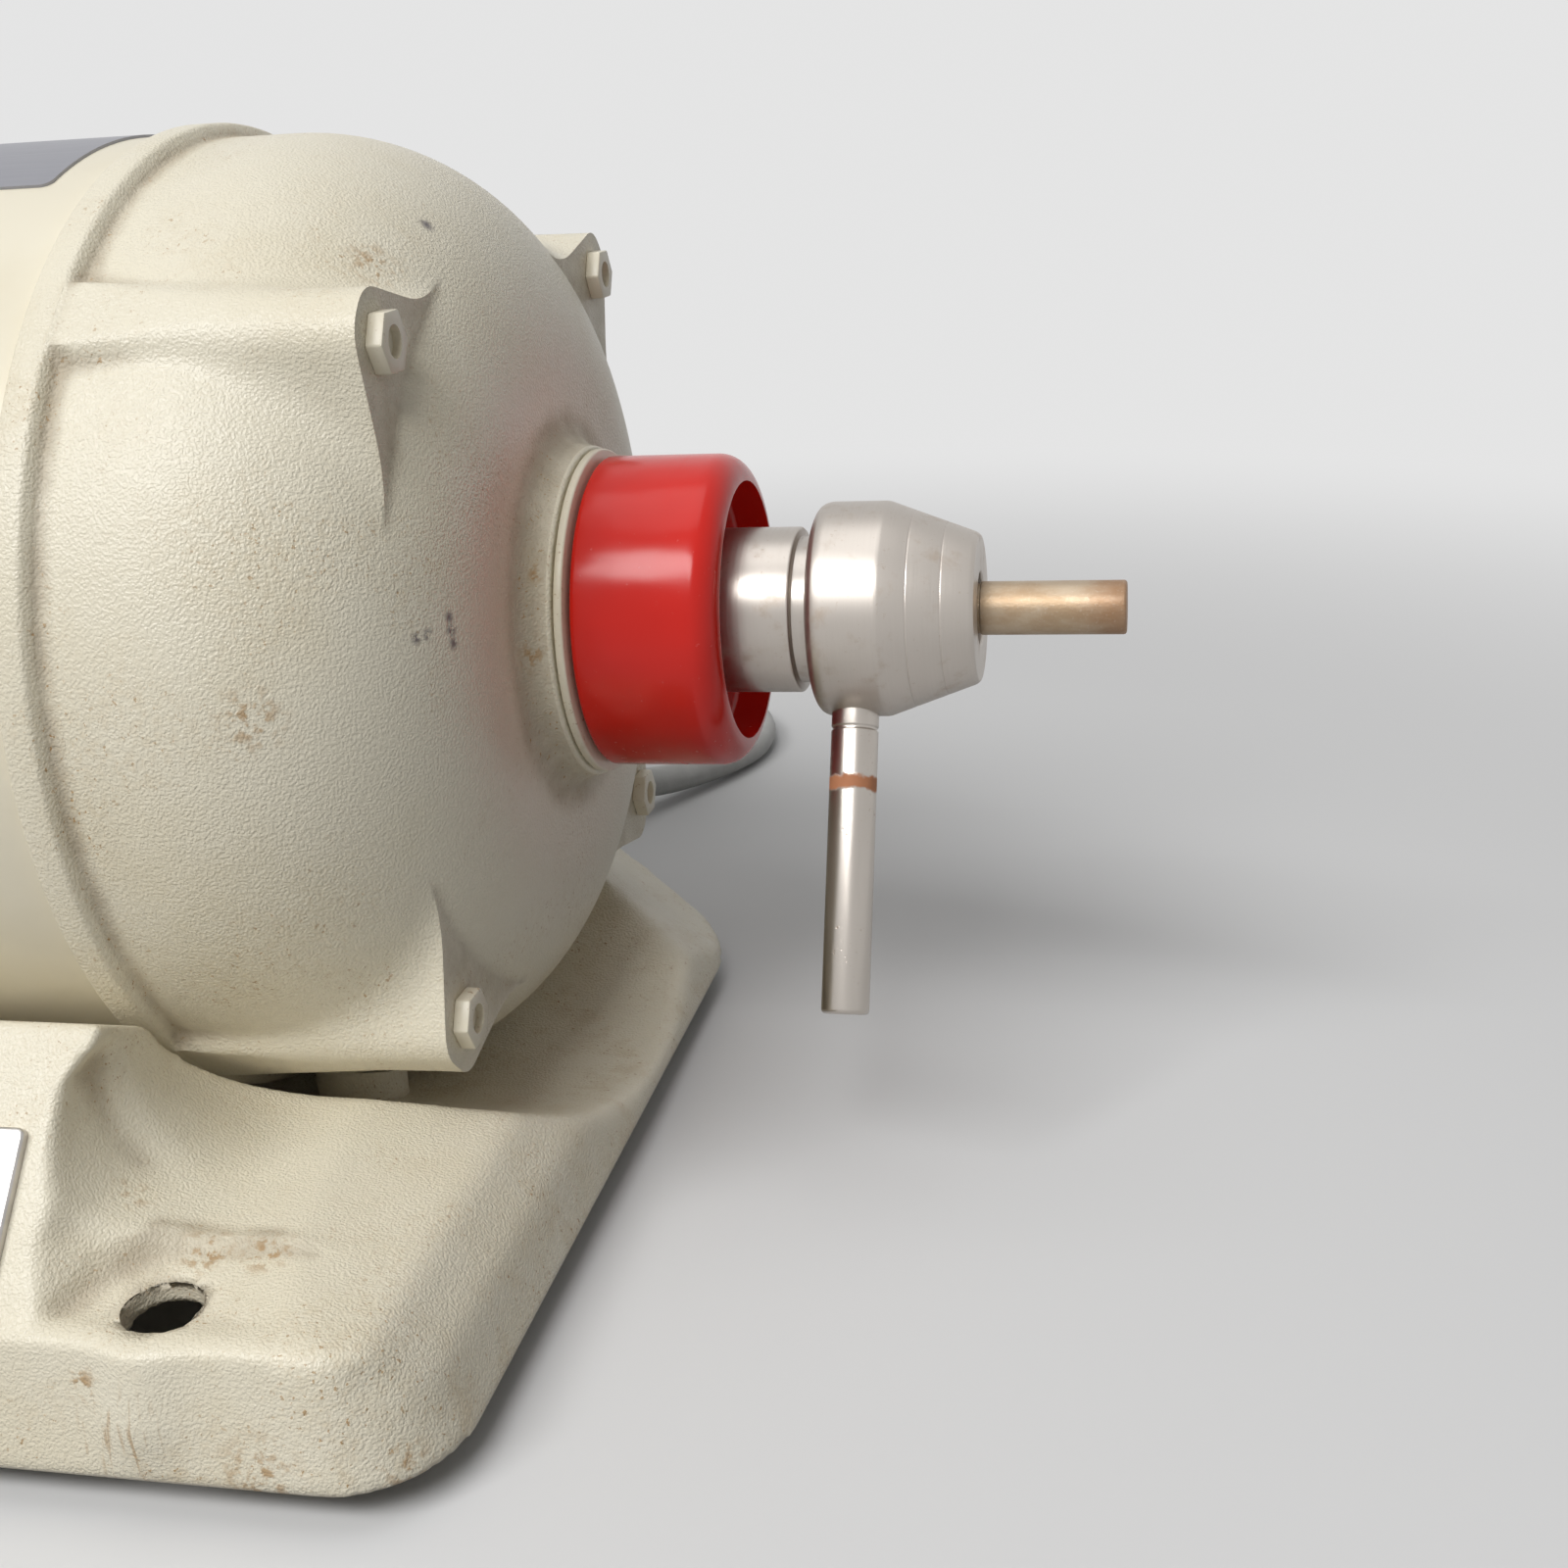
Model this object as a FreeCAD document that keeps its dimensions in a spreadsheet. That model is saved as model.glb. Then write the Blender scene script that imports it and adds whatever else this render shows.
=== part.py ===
"""Double-ended bench polishing lathe with a lever chuck, in millimetres.

+X runs along the shaft towards the lever chuck, +Y towards the back, +Z up. The origin is on the
bench, under the middle of the base. Turned pieces are drawn as (along the shaft, radius) profiles.
"""
import FreeCAD, Part
import math
import os
import Sketcher

doc = FreeCAD.newDocument("polishing_lathe")

# Driving sizes
SIZES = {
    # Where the shaft stands: its distance behind the middle, and the floor of the saddle over the rim
    "shaft_back": "18.6",
    "saddle_floor": "3.7",
    # Cast base
    "base_half_length": "110.8",
    "base_half_depth": "103",
    "foot_height": "5.5",
    "base_wall": "5",
    "cutter_overrun": "20",
    "front_corner_round": "18",
    "rear_corner_round": "40",
    "skirt_inset": "3.6",
    "flange_height": "11",
    "rear_flange_height": "22.5",
    "pad_height": "20.3",
    "pad_depth": "19.8",
    "pad_rise": "2.4",
    "crest_height": "24",
    "saddle_wall": "5.5",
    "ramp_low_x": "100",
    "ramp_low_height": "19",
    "ramp_mid_x": "84",
    "ramp_mid_height": "22.5",
    "ramp_high_x": "66",
    "ramp_high_height": "26.5",
    "ramp_top_x": "50",
    "corner_fall_x": "90",
    "corner_fall_y": "80",
    "corner_fall_height": "13.5",
    "corner_fall_angle": "35",
    "corner_fall_heading": "22",
    "corner_fall_wall": "6",
    "corner_fall_reach": "60",
    "shell_seat_gap": "0.2",
    "bell_room": "2.8",
    # Switch block on the front of the base
    "block_half_width": "52",
    "block_height": "52.7",
    "ledge_fall": "28",
    "block_ledge": "33.05",
    "panel_angle": "49.2",
    "scoop_radius": "20",
    "scoop_dive_run": "14",
    "scoop_dive_rise": "24",
    # Bench bolt holes and feet
    "bench_hole_radius": "5.75",
    "bench_hole_x": "68.5",
    "bench_hole_inset": "12.5",
    "foot_radius": "10",
    "foot_end_inset": "18.8",
    "foot_front_inset": "21",
    "foot_rear_inset": "28",
    "foot_screw_radius": "2",
    "foot_screw_head": "4",
    "foot_screw_head_height": "2",
    "foot_screw_length": "10",
    # Motor shell and its blank plate
    "shell_radius": "82.6",
    "shell_wall": "2.2",
    "shell_half": "43.5",
    "plate_half_length": "34.5",
    "plate_spread": "23",
    "foil": "0.3",
    "foil_gap": "0.2",
    # Cast end bells
    "band_rise": "1.6",
    "band_width": "5",
    "spigot_depth": "5",
    "spigot_gap": "0.1",
    "bell_wall": "5",
    "recess_step": "2.4",
    "shoulder_round": "40",
    "face_reach": "58",
    "hub_reach": "63",
    "hub_radius": "28.6",
    "hub_round": "3.5",
    "boss_reach": "50.5",
    "rib_top_half": "3.6",
    "rib_root_half": "21.6",
    "rib_root_inset": "27.6",
    # Long bolts through both bells
    "bolt_inset": "7.6",
    "bolt_radius": "2.4",
    "bolt_gap": "0.3",
    "nut_flats": "9.2",
    "nut_height": "2.6",
    "bolt_end_recess": "0.6",
    # Screws that hold the bells on the base
    "seat_x": "61",
    "seat_offset": "25",
    "seat_radius": "8",
    "seat_pocket": "1.5",
    "seat_boss_wall": "1",
    "seat_bolt_radius": "3",
    "seat_bolt_head": "5.5",
    "seat_bolt_head_height": "3.5",
    "seat_bolt_bite": "4",
    # Stator and rotor
    "core_half": "28",
    "air_gap": "0.4",
    "rotor_radius": "44.9",
    "winding_inner": "47",
    "winding_outer": "62",
    "winding_length": "22",
    "ring_inner": "20",
    "ring_outer": "43",
    "ring_length": "8",
    # Shaft and ball bearings
    "shaft_radius": "10",
    "journal_radius": "8.5",
    "neck_radius": "8",
    "bearing_reach": "42.5",
    "bearing_width": "12",
    "bearing_radius": "20",
    "bearing_wall": "3.1",
    "ball_radius": "3.37",
    "ball_gap": "0.05",
    "cage_half_thickness": "0.95",
    "cage_width": "8.4",
    "bearing_boss_wall": "6",
    "washer_thickness": "0.8",
    "fit_gap": "0.02",
    # Release collar, its bush and the ejector behind the chuck
    "ring_gap": "0.3",
    "bush_ring_thickness": "1.5",
    "bush_ring_radius": "28",
    "bush_radius": "20",
    "bush_spigot_radius": "17",
    "bush_spigot_length": "5",
    "bush_length": "8.4",
    "collar_gap": "0.7",
    "collar_radius": "26.7",
    "collar_length": "24",
    "collar_round": "4.6",
    "collar_mouth_radius": "22",
    "collar_mouth_depth": "6.5",
    "collar_throat_gap": "1.1",
    "running_gap": "0.05",
    "ejector_radius": "13",
    "ejector_bore_gap": "0.6",
    "ejector_length": "14.4",
    "cam_pin_radius": "1.5",
    "cam_pin_reach": "22.5",
    "cam_pin_setback": "5.2",
    "cam_groove_wall": "0.5",
    # Taper and lever chuck
    "taper_start": "12.1",
    "taper_length": "28",
    "taper_big_radius": "7.9",
    "taper_small_radius": "6.6",
    "push_gap": "0.3",
    "chuck_radius": "14.1",
    "chuck_sleeve_length": "24",
    "groove_width": "3",
    "groove_radius": "12.4",
    "chuck_neck_radius": "11",
    "chuck_neck_length": "15",
    "closer_radius": "18.2",
    "closer_rim_round": "1.6",
    "closer_barrel": "12",
    "closer_length": "27.2",
    "closer_nose_radius": "12.7",
    "collet_radius": "7.4",
    "collet_tail": "9",
    "collet_nose_radius": "6",
    "collet_nose_length": "10.5",
    "collet_slot": "1",
    "pin_radius": "4.5",
    "shank_radius": "4.2",
    "pin_grip": "16",
    "tip_reach": "197",
    "lever_radius": "4",
    "lever_set": "6.5",
    "lever_reach": "68.5",
    "lever_depth": "4.6",
    "lever_lean": "28",
    "lever_chamfer": "0.6",
    # Tapered screw spindle on the other end
    "screw_big_radius": "10.5",
    "screw_small_radius": "2.2",
    # Toggle switch and its plate
    "switch_plate_half": "46",
    "switch_plate_height": "21.4",
    "switch_plate_thickness": "1.5",
    "switch_plate_drop": "26.27",
    "plate_screw_x": "40",
    "plate_screw_radius": "1.6",
    "plate_screw_head": "3",
    "plate_screw_head_height": "1.4",
    "plate_screw_length": "6",
    "switch_neck_radius": "5.9",
    "switch_neck_rise": "7",
    "switch_nut_flats": "14",
    "switch_nut_height": "2.2",
    "switch_width": "28",
    "switch_height": "14",
    "switch_depth": "17",
    "toggle_root_radius": "1.9",
    "toggle_tip_radius": "2.7",
    "toggle_length": "14.8",
    "toggle_seat_depth": "3",
    "toggle_foot_gap": "0.6",
    # Run capacitor in the base
    "capacitor_radius": "7",
    "capacitor_half_length": "26",
    "capacitor_gap": "1",
    "capacitor_rise": "9",
    "clamp_thickness": "1",
    "clamp_width": "14",
    "clamp_ear": "10",
    "clamp_offset": "7.1",
    "clamp_boss_height": "17",
    "clamp_boss_length": "4",
    # Mains cord
    "cord_radius": "4",
    "cord_exit_x": "54",
    "boot_height": "15",
    "boot_length": "30",
    "boot_radius": "8",
    "boot_tip_radius": "5.4",
    "boot_neck_radius": "6.5",
    "boot_flange_radius": "9",
    "boot_flange": "3",
    "boot_flange_gap": "1.2",
    "coil_outer_radius": "53",
    "coil_pitch": "8.8",
    "coil_lift": "0.9",
    "tie_width": "12",
    "tie_thickness": "0.8",
    "plug_width": "27",
    "plug_length": "30",
    "plug_round": "4",
    "plug_neck_radius": "6",
    "plug_neck_length": "10",
    "blade_length": "17",
    "blade_width": "6.3",
    "blade_thickness": "1.5",
    "blade_spread": "6.35",
    "earth_pin_radius": "2.4",
    "earth_pin_length": "20",
    "earth_pin_offset": "8",
}

BOLT_ANGLES = (45, 135, 225, 315)
BALLS = 8
LAYER_HALF_TURNS = 5
CORD_POINTS = [
    (54, 149, 15),
    (60, 166, 11.3),
    (68.5, 182, 6),
    (85.8, 213.2, 4.2),
    (84.9, 238.4, 4.2),
    (71.9, 259.8, 4.2),
    (49.9, 272.1, 4.3),
    (24, 272.9, 4.6),
    (-4, 272.5, 4.9),
    (-30, 272, 4.9),
]
COIL_CENTRE = (-60, 219)
TAIL_TURN = 30
TAIL_RADIUS = 44


class Size:
    """A length or angle of the sheet, or a sum worked out from several, with its expression."""

    def __init__(self, value, text):
        self.value = value
        self.text = text

    @staticmethod
    def of(other):
        return other if isinstance(other, Size) else Size(float(other), repr(float(other)))

    def join(self, other, sign, value):
        return Size(value, f"({self.text} {sign} {Size.of(other).text})")

    def __add__(self, other):
        return self.join(other, "+", self.value + Size.of(other).value)

    def __sub__(self, other):
        return self.join(other, "-", self.value - Size.of(other).value)

    def __mul__(self, other):
        return self.join(other, "*", self.value * Size.of(other).value)

    def __truediv__(self, other):
        return self.join(other, "/", self.value / Size.of(other).value)

    def __neg__(self):
        return self * -1

    def __radd__(self, other):
        return Size.of(other) + self

    def __rsub__(self, other):
        return Size.of(other) - self

    def __rmul__(self, other):
        return Size.of(other) * self


def root(size):
    return Size(math.sqrt(size.value), f"sqrt({size.text})")


def sine(angle):
    return Size(math.sin(math.radians(angle.value)), f"sin({angle.text})")


def cosine(angle):
    return Size(math.cos(math.radians(angle.value)), f"cos({angle.text})")


class Sheet:
    """The spreadsheet of driving sizes, one attribute for each alias."""

    def __init__(self):
        cells = doc.addObject("Spreadsheet::Sheet", "Sizes")
        for row, (alias, text) in enumerate(SIZES.items(), 1):
            cells.set(f"A{row}", alias)
            cells.set(f"B{row}", text)
            cells.setAlias(f"B{row}", alias)
            setattr(self, alias, Size(float(text), f"Sizes.{alias}"))
        doc.recompute()


d = Sheet()
nodes = []

# Places that several pieces share
rim = d.foot_height
band_radius = d.shell_radius + d.band_rise
recess_radius = band_radius - d.recess_step
trough_radius = band_radius + d.bell_room
shaft_height = rim + d.saddle_floor + trough_radius
bolt_circle = d.shell_radius - d.bolt_inset
foot_x = d.base_half_length - d.foot_end_inset
bell_seat = d.shell_half
boss_face = bell_seat + d.boss_reach
nut_face = boss_face + d.nut_height
hub_end = bell_seat + d.hub_reach
bearing_start = bell_seat + d.bearing_reach
bearing_end = bearing_start + d.bearing_width
ring_start = hub_end + d.ring_gap
ring_end = ring_start + d.bush_ring_thickness
bush_end = ring_end + d.bush_length
collar_start = ring_end + d.collar_gap
collar_end = collar_start + d.collar_length
ejector_end = hub_end + d.taper_start - d.push_gap - d.fit_gap
chuck_start = hub_end + d.taper_start - d.fit_gap
cam_pin_x = ejector_end - d.cam_pin_setback
sleeve_end = chuck_start + d.chuck_sleeve_length
closer_start = sleeve_end + d.groove_width
pitch_radius = (d.journal_radius + d.bearing_radius) * 0.5


def bind(thing, **sizes):
    for name, size in sizes.items():
        thing.setExpression(name, Size.of(size).text)


def place(thing, x=0, y=0, z=0, turn_axis=(0, 0, 1), turn=0):
    base = FreeCAD.Vector(*(Size.of(part).value for part in (x, y, z)))
    angle = Size.of(turn)
    thing.Placement = FreeCAD.Placement(base, FreeCAD.Rotation(FreeCAD.Vector(*turn_axis), angle.value))
    for name, size in (("x", x), ("y", y), ("z", z)):
        thing.setExpression(f"Placement.Base.{name}", Size.of(size).text)
    if isinstance(turn, Size):
        thing.setExpression("Placement.Rotation.Angle", angle.text)
    return thing


AXIS_TURNS = {"X": ((0, 1, 0), 90), "Y": ((1, 0, 0), -90), "Z": ((0, 0, 1), 0)}


def rod(radius, length, x=0, y=0, z=0, axis="Z"):
    """A cylinder that starts at a point and runs along a positive axis."""
    thing = doc.addObject("Part::Cylinder", "rod")
    bind(thing, Radius=radius, Height=length)
    return place(thing, x, y, z, *AXIS_TURNS[axis])


def hexagon(flats, height, x=0, y=0, z=0, axis="Z"):
    thing = doc.addObject("Part::Prism", "hexagon")
    thing.Polygon = 6
    bind(thing, Circumradius=flats / math.sqrt(3), Height=height)
    return place(thing, x, y, z, *AXIS_TURNS[axis])


def ball(radius, x, y, z):
    thing = doc.addObject("Part::Sphere", "ball")
    bind(thing, Radius=radius)
    return place(thing, x, y, z)


def block(length, depth, height, x=0, y=0, z=0, turn_axis=(0, 0, 1), turn=0):
    thing = doc.addObject("Part::Box", "block")
    bind(thing, Length=length, Width=depth, Height=height)
    return place(thing, x, y, z, turn_axis, turn)


def joined(*parts):
    thing = doc.addObject("Part::MultiFuse", "joined")
    thing.Shapes = list(parts)
    return thing


def shared(*parts):
    thing = doc.addObject("Part::MultiCommon", "shared")
    thing.Shapes = list(parts)
    return thing


def cut(base, *tools):
    thing = doc.addObject("Part::Cut", "cut")
    thing.Base = base
    thing.Tool = tools[0] if len(tools) == 1 else joined(*tools)
    return thing


def grouped(parts):
    thing = doc.addObject("Part::Compound", "grouped")
    thing.Links = list(parts)
    return thing


def node(name, thing):
    thing.Label = name
    nodes.append(thing)
    return thing


def origin_plane(body, role):
    return next(part for part in body.Origin.OriginFeatures if part.Role == role)


def sketch_outline(body, role, corners):
    """A closed sketch of straight lines whose corners are bound to sizes."""
    sketch = body.newObject("Sketcher::SketchObject", "outline")
    sketch.AttachmentSupport = (origin_plane(body, role), [""])
    sketch.MapMode = "FlatFace"
    corners = [(Size.of(across), Size.of(up)) for across, up in corners]
    vectors = [FreeCAD.Vector(across.value, up.value, 0) for across, up in corners]
    count = len(corners)
    for index in range(count):
        sketch.addGeometry(Part.LineSegment(vectors[index], vectors[(index + 1) % count]), False)
    for index in range(count):
        sketch.addConstraint(Sketcher.Constraint("Coincident", index, 2, (index + 1) % count, 1))
    for index, (across, up) in enumerate(corners):
        for kind, size in (("DistanceX", across), ("DistanceY", up)):
            datum = sketch.addConstraint(Sketcher.Constraint(kind, -1, 1, index, 1, size.value))
            sketch.setExpression(f"Constraints[{datum}]", size.text)
    return sketch


def turned(corners, x=0, y=d.shaft_back, z=shaft_height, turn_axis=(0, 0, 1), turn=0):
    """A body turned about its own X axis from a profile of (along, radius) corners."""
    body = doc.addObject("PartDesign::Body", "turned")
    sketch = sketch_outline(body, "XY_Plane", corners)
    spin = body.newObject("PartDesign::Revolution", "spin")
    spin.Profile = sketch
    spin.ReferenceAxis = (sketch, ["H_Axis"])
    spin.Angle = 360
    body.Tip = spin
    return place(body, x, y, z, turn_axis, turn)


def padded(corners, role, length, x=0, y=0, z=0, turn_axis=(0, 0, 1), turn=0):
    """A body padded both ways from a plane by a full length."""
    body = doc.addObject("PartDesign::Body", "padded")
    pad = body.newObject("PartDesign::Pad", "pad")
    pad.Profile = sketch_outline(body, role, corners)
    pad.SideType = "Symmetric"
    bind(pad, Length=length)
    body.Tip = pad
    return place(body, x, y, z, turn_axis, turn)


def round_edges(body, radius, wanted):
    """Fillet the edges of a body that the test picks."""
    doc.recompute()
    sharp = body.Tip
    names = [f"Edge{index}" for index, edge in enumerate(sharp.Shape.Edges, 1) if wanted(edge)]
    fillet = body.newObject("PartDesign::Fillet", "fillet")
    fillet.Base = (sharp, names)
    bind(fillet, Radius=radius)
    body.Tip = fillet
    return body


def ring_edge(along, radius):
    """A test for the round edge of a turned body at one corner of its profile."""
    def test(edge):
        curve = edge.Curve
        if not isinstance(curve, Part.Circle):
            return False
        near = abs(curve.Center.x - Size.of(along).value) < 1e-4
        return near and abs(curve.Radius - Size.of(radius).value) < 1e-4
    return test


def upright_edge(is_wanted):
    """A test for straight upright edges whose place on the floor is wanted."""
    def test(edge):
        low, high = edge.BoundBox.ZMin, edge.BoundBox.ZMax
        middle = edge.CenterOfMass
        thin = edge.BoundBox.XLength + edge.BoundBox.YLength < 1e-6
        return thin and high - low > 1 and is_wanted(middle)
    return test


def ring(inner, outer, start, end):
    return turned([(start, inner), (end, inner), (end, outer), (start, outer)])


def around_shaft(angle, radius):
    """A point beside the shaft, as the angle from the back, turning up."""
    across = radius * math.cos(math.radians(angle))
    up = radius * math.sin(math.radians(angle))
    return d.shaft_back + across, shaft_height + up


# Cast base
def base_outline(inset, height):
    """The rounded plan of the base, drawn in all round by an inset."""
    long = d.base_half_length - inset
    deep = d.base_half_depth - inset
    body = padded([(-long, -deep), (long, -deep), (long, deep), (-long, deep)], "XY_Plane", height)
    round_edges(body, d.front_corner_round - inset, upright_edge(lambda at: at.y < 0))
    round_edges(body, d.rear_corner_round - inset, upright_edge(lambda at: at.y > 0))
    return body


def end_ramps(drop, depth):
    """The base seen from the front: the low deck and its fall to each end."""
    right = [
        (d.base_half_length - drop, rim - drop),
        (d.base_half_length - d.skirt_inset - drop, rim + d.flange_height - drop),
        (d.ramp_low_x - drop * 0.4, rim + d.ramp_low_height - drop),
        (d.ramp_mid_x - drop * 0.4, rim + d.ramp_mid_height - drop),
        (d.ramp_high_x - drop * 0.6, rim + d.ramp_high_height - drop),
        (d.ramp_top_x - drop * 0.6, rim + d.block_height + d.base_wall - drop),
    ]
    left = [(-along, up) for along, up in reversed(right)]
    return padded(right + left, "XZ_Plane", depth)


def trough_edge(radius, height):
    """How far from the shaft's upright plane a round trough stands at a height over the rim."""
    drop = shaft_height - rim - height
    return root(radius * radius - drop * drop)


crest_edge = trough_edge(trough_radius, d.crest_height)
crest_front = d.shaft_back - crest_edge - d.saddle_wall
crest_rear = d.shaft_back + crest_edge + d.saddle_wall
pad_front = -d.base_half_depth + d.skirt_inset


def side_slopes(drop, length):
    """The base seen from its end: the bolt pads, the deck and the back."""
    outline = [
        (-d.base_half_depth + drop, rim - drop),
        (pad_front + drop, rim + d.pad_height - drop),
        (pad_front + d.pad_depth + drop * 0.3, rim + d.pad_height + d.pad_rise - drop),
        (crest_front + drop * 0.7, rim + d.crest_height - drop),
        (crest_rear - drop * 0.9, rim + d.crest_height - drop),
        (d.base_half_depth - d.skirt_inset - drop, rim + d.rear_flange_height - drop * 0.7),
        (d.base_half_depth - drop, rim - drop),
    ]
    return padded(outline, "YZ_Plane", length)


ledge_y = -d.base_half_depth + d.block_ledge
ledge_z = rim + d.block_height
panel_fall = d.block_height - d.pad_height
panel_foot_y = ledge_y - panel_fall * cosine(d.panel_angle) / sine(d.panel_angle)
ledge_back_z = ledge_z - (d.shaft_back - ledge_y) * sine(d.ledge_fall) / cosine(d.ledge_fall)


def switch_block(drop, half_width):
    """The block on the front of the base, with its tilted panel."""
    lean = drop * (1 - cosine(d.panel_angle)) / sine(d.panel_angle)
    outline = [
        (-d.base_half_depth + drop, rim - drop),
        (panel_foot_y + drop / sine(d.panel_angle), rim + d.pad_height),
        (ledge_y + lean, ledge_z - drop),
        (d.shaft_back, ledge_back_z - drop),
        (d.shaft_back, rim - drop),
    ]
    return padded(outline, "YZ_Plane", half_width * 2)


slope_foot_y = pad_front + d.pad_depth
slope_foot_z = rim + d.pad_height + d.pad_rise


def scoop(side, run, rise):
    """A round hollow beside the switch block, along a slope that passes the back edge of the bolt pad."""
    long = root(run * run + rise * rise)
    tool = doc.addObject("Part::Cylinder", "scoop")
    bind(tool, Radius=d.scoop_radius, Height=long * 4)
    tilt = math.degrees(math.atan2(run.value, rise.value))
    start_y = slope_foot_y - run * 1.5 - rise / long * d.scoop_radius
    start_z = slope_foot_z - rise * 1.5 + run / long * d.scoop_radius
    return place(tool, (d.block_half_width + d.scoop_radius) * side, start_y, start_z, (-1, 0, 0), tilt)


def deck_scoop(side):
    return scoop(side, crest_front - slope_foot_y, d.crest_height - d.pad_height - d.pad_rise)


def pad_scoop(side):
    return scoop(side, d.scoop_dive_run, d.scoop_dive_rise)


def corner_fall(side, drop):
    """A cutter over a rear corner, where the deck falls away to the low rim."""
    tool = doc.addObject("Part::Cylinder", "corner_fall")
    bind(tool, Radius=d.corner_fall_reach, Height=d.corner_fall_reach)
    heading = math.radians(d.corner_fall_heading.value)
    return place(tool, d.corner_fall_x * side, d.corner_fall_y, rim + d.corner_fall_height - drop,
                 (-math.sin(heading), math.cos(heading) * side, 0), d.corner_fall_angle)


def mirrored_pair(make):
    return [make(1), make(-1)]


def foot_places():
    for side in (1, -1):
        yield foot_x * side, -d.base_half_depth + d.foot_front_inset
        yield foot_x * side, d.base_half_depth - d.foot_rear_inset


def seat_places():
    for side in (1, -1):
        for way in (1, -1):
            yield d.seat_x * side, d.shaft_back + d.seat_offset * way


seat_floor = shaft_height - root(trough_radius * trough_radius - d.seat_offset * d.seat_offset)
seat_base = seat_floor - d.seat_pocket
boot_inside = d.base_half_depth - d.skirt_inset - d.base_wall - d.boot_flange - d.boot_flange_gap
foot_boss_radius = d.foot_screw_radius + d.base_wall
capacitor_x = -d.switch_width - d.capacitor_half_length
capacitor_z = rim + d.capacitor_rise
capacitor_drop = shaft_height - capacitor_z
capacitor_reach = trough_radius + d.base_wall + d.capacitor_radius + d.clamp_thickness + d.capacitor_gap
capacitor_y = d.shaft_back - root(capacitor_reach * capacitor_reach - capacitor_drop * capacitor_drop)
clamp_boss_y = capacitor_y - d.clamp_offset


def panel_point(across, up, out):
    """A point given in the switch panel's own directions, from the middle of its plate."""
    y = plate_y + up * cosine(d.panel_angle) - out * sine(d.panel_angle)
    z = plate_z + up * sine(d.panel_angle) + out * cosine(d.panel_angle)
    return across, y, z


plate_y = ledge_y - d.switch_plate_drop * cosine(d.panel_angle)
plate_z = ledge_z - d.switch_plate_drop * sine(d.panel_angle)


def panel_rod(radius, length, across, up, out):
    thing = doc.addObject("Part::Cylinder", "panel_rod")
    bind(thing, Radius=radius, Height=length)
    return place(thing, *panel_point(Size.of(across), Size.of(up), Size.of(out)), (1, 0, 0), d.panel_angle)


def panel_block(length, height, depth, across, up, out):
    """A box on the switch panel, centred across and up, that starts at a distance out."""
    return block(length, height, depth,
                 *panel_point(across - length * 0.5, up - height * 0.5, Size.of(out)),
                 (1, 0, 0), d.panel_angle)


def base_casting():
    whole = d.base_half_length * 2 + d.cutter_overrun
    tall = shaft_height * 2
    skin = Size.of(0)
    outside = shared(base_outline(skin, tall), end_ramps(skin, whole), side_slopes(skin, whole))
    outside = cut(outside, corner_fall(1, skin), corner_fall(-1, skin))
    shelf = cut(switch_block(skin, d.block_half_width + d.scoop_radius),
                *mirrored_pair(deck_scoop), *mirrored_pair(pad_scoop))
    shelf = shared(shelf, base_outline(skin, tall), end_ramps(skin, whole))
    wall = d.base_wall
    inside = shared(base_outline(wall, tall), end_ramps(wall, whole), side_slopes(wall, whole))
    room = switch_block(d.base_wall, d.block_half_width - d.base_wall)
    saddle = rod(trough_radius + d.base_wall, whole, whole * -0.5, d.shaft_back, shaft_height, "X")
    below = block(whole, whole, rim + d.foot_height, whole * -0.5, whole * -0.5, -d.foot_height)
    hollow = cut(joined(inside, room), saddle,
                 corner_fall(1, d.corner_fall_wall), corner_fall(-1, d.corner_fall_wall))
    bosses = [shared(rod(foot_boss_radius, d.crest_height, x, y, rim), outside) for x, y in foot_places()]
    bosses += [rod(d.seat_radius + d.seat_boss_wall, seat_base - rim, x, y, rim) for x, y in seat_places()]
    clamp_top = rim + d.clamp_boss_height
    bosses.append(rod(d.clamp_ear * 0.5, d.clamp_boss_length, capacitor_x, clamp_boss_y, clamp_top))
    trough = rod(trough_radius, whole, whole * -0.5, d.shaft_back, shaft_height, "X")
    holes = [rod(d.bench_hole_radius, tall, d.bench_hole_x * side, -d.base_half_depth + d.bench_hole_inset)
             for side in (1, -1)]
    holes += [rod(d.foot_screw_radius + d.fit_gap, d.foot_screw_length + d.foot_height, x, y)
              for x, y in foot_places()]
    holes += [rod(d.seat_bolt_radius + d.bolt_gap, tall * 0.3, x, y) for x, y in seat_places()]
    holes += [rod(d.seat_radius + d.fit_gap, d.seat_pocket + d.base_wall, x, y, seat_base)
              for x, y in seat_places()]
    holes.append(rod(d.boot_neck_radius + d.fit_gap, d.base_wall * 4, d.cord_exit_x,
                     boot_inside, rim - d.foot_height + d.boot_height, "Y"))
    holes.append(panel_rod(d.switch_neck_radius + d.bolt_gap, d.base_wall * 4, 0, 0, d.base_wall * -2))
    holes += [panel_rod(d.plate_screw_radius + d.fit_gap, d.plate_screw_length * 2,
                        d.plate_screw_x * side, 0, -d.plate_screw_length) for side in (1, -1)]
    body = cut(joined(outside, shelf), hollow, trough, below)
    return cut(joined(body, *bosses), *holes)


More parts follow.
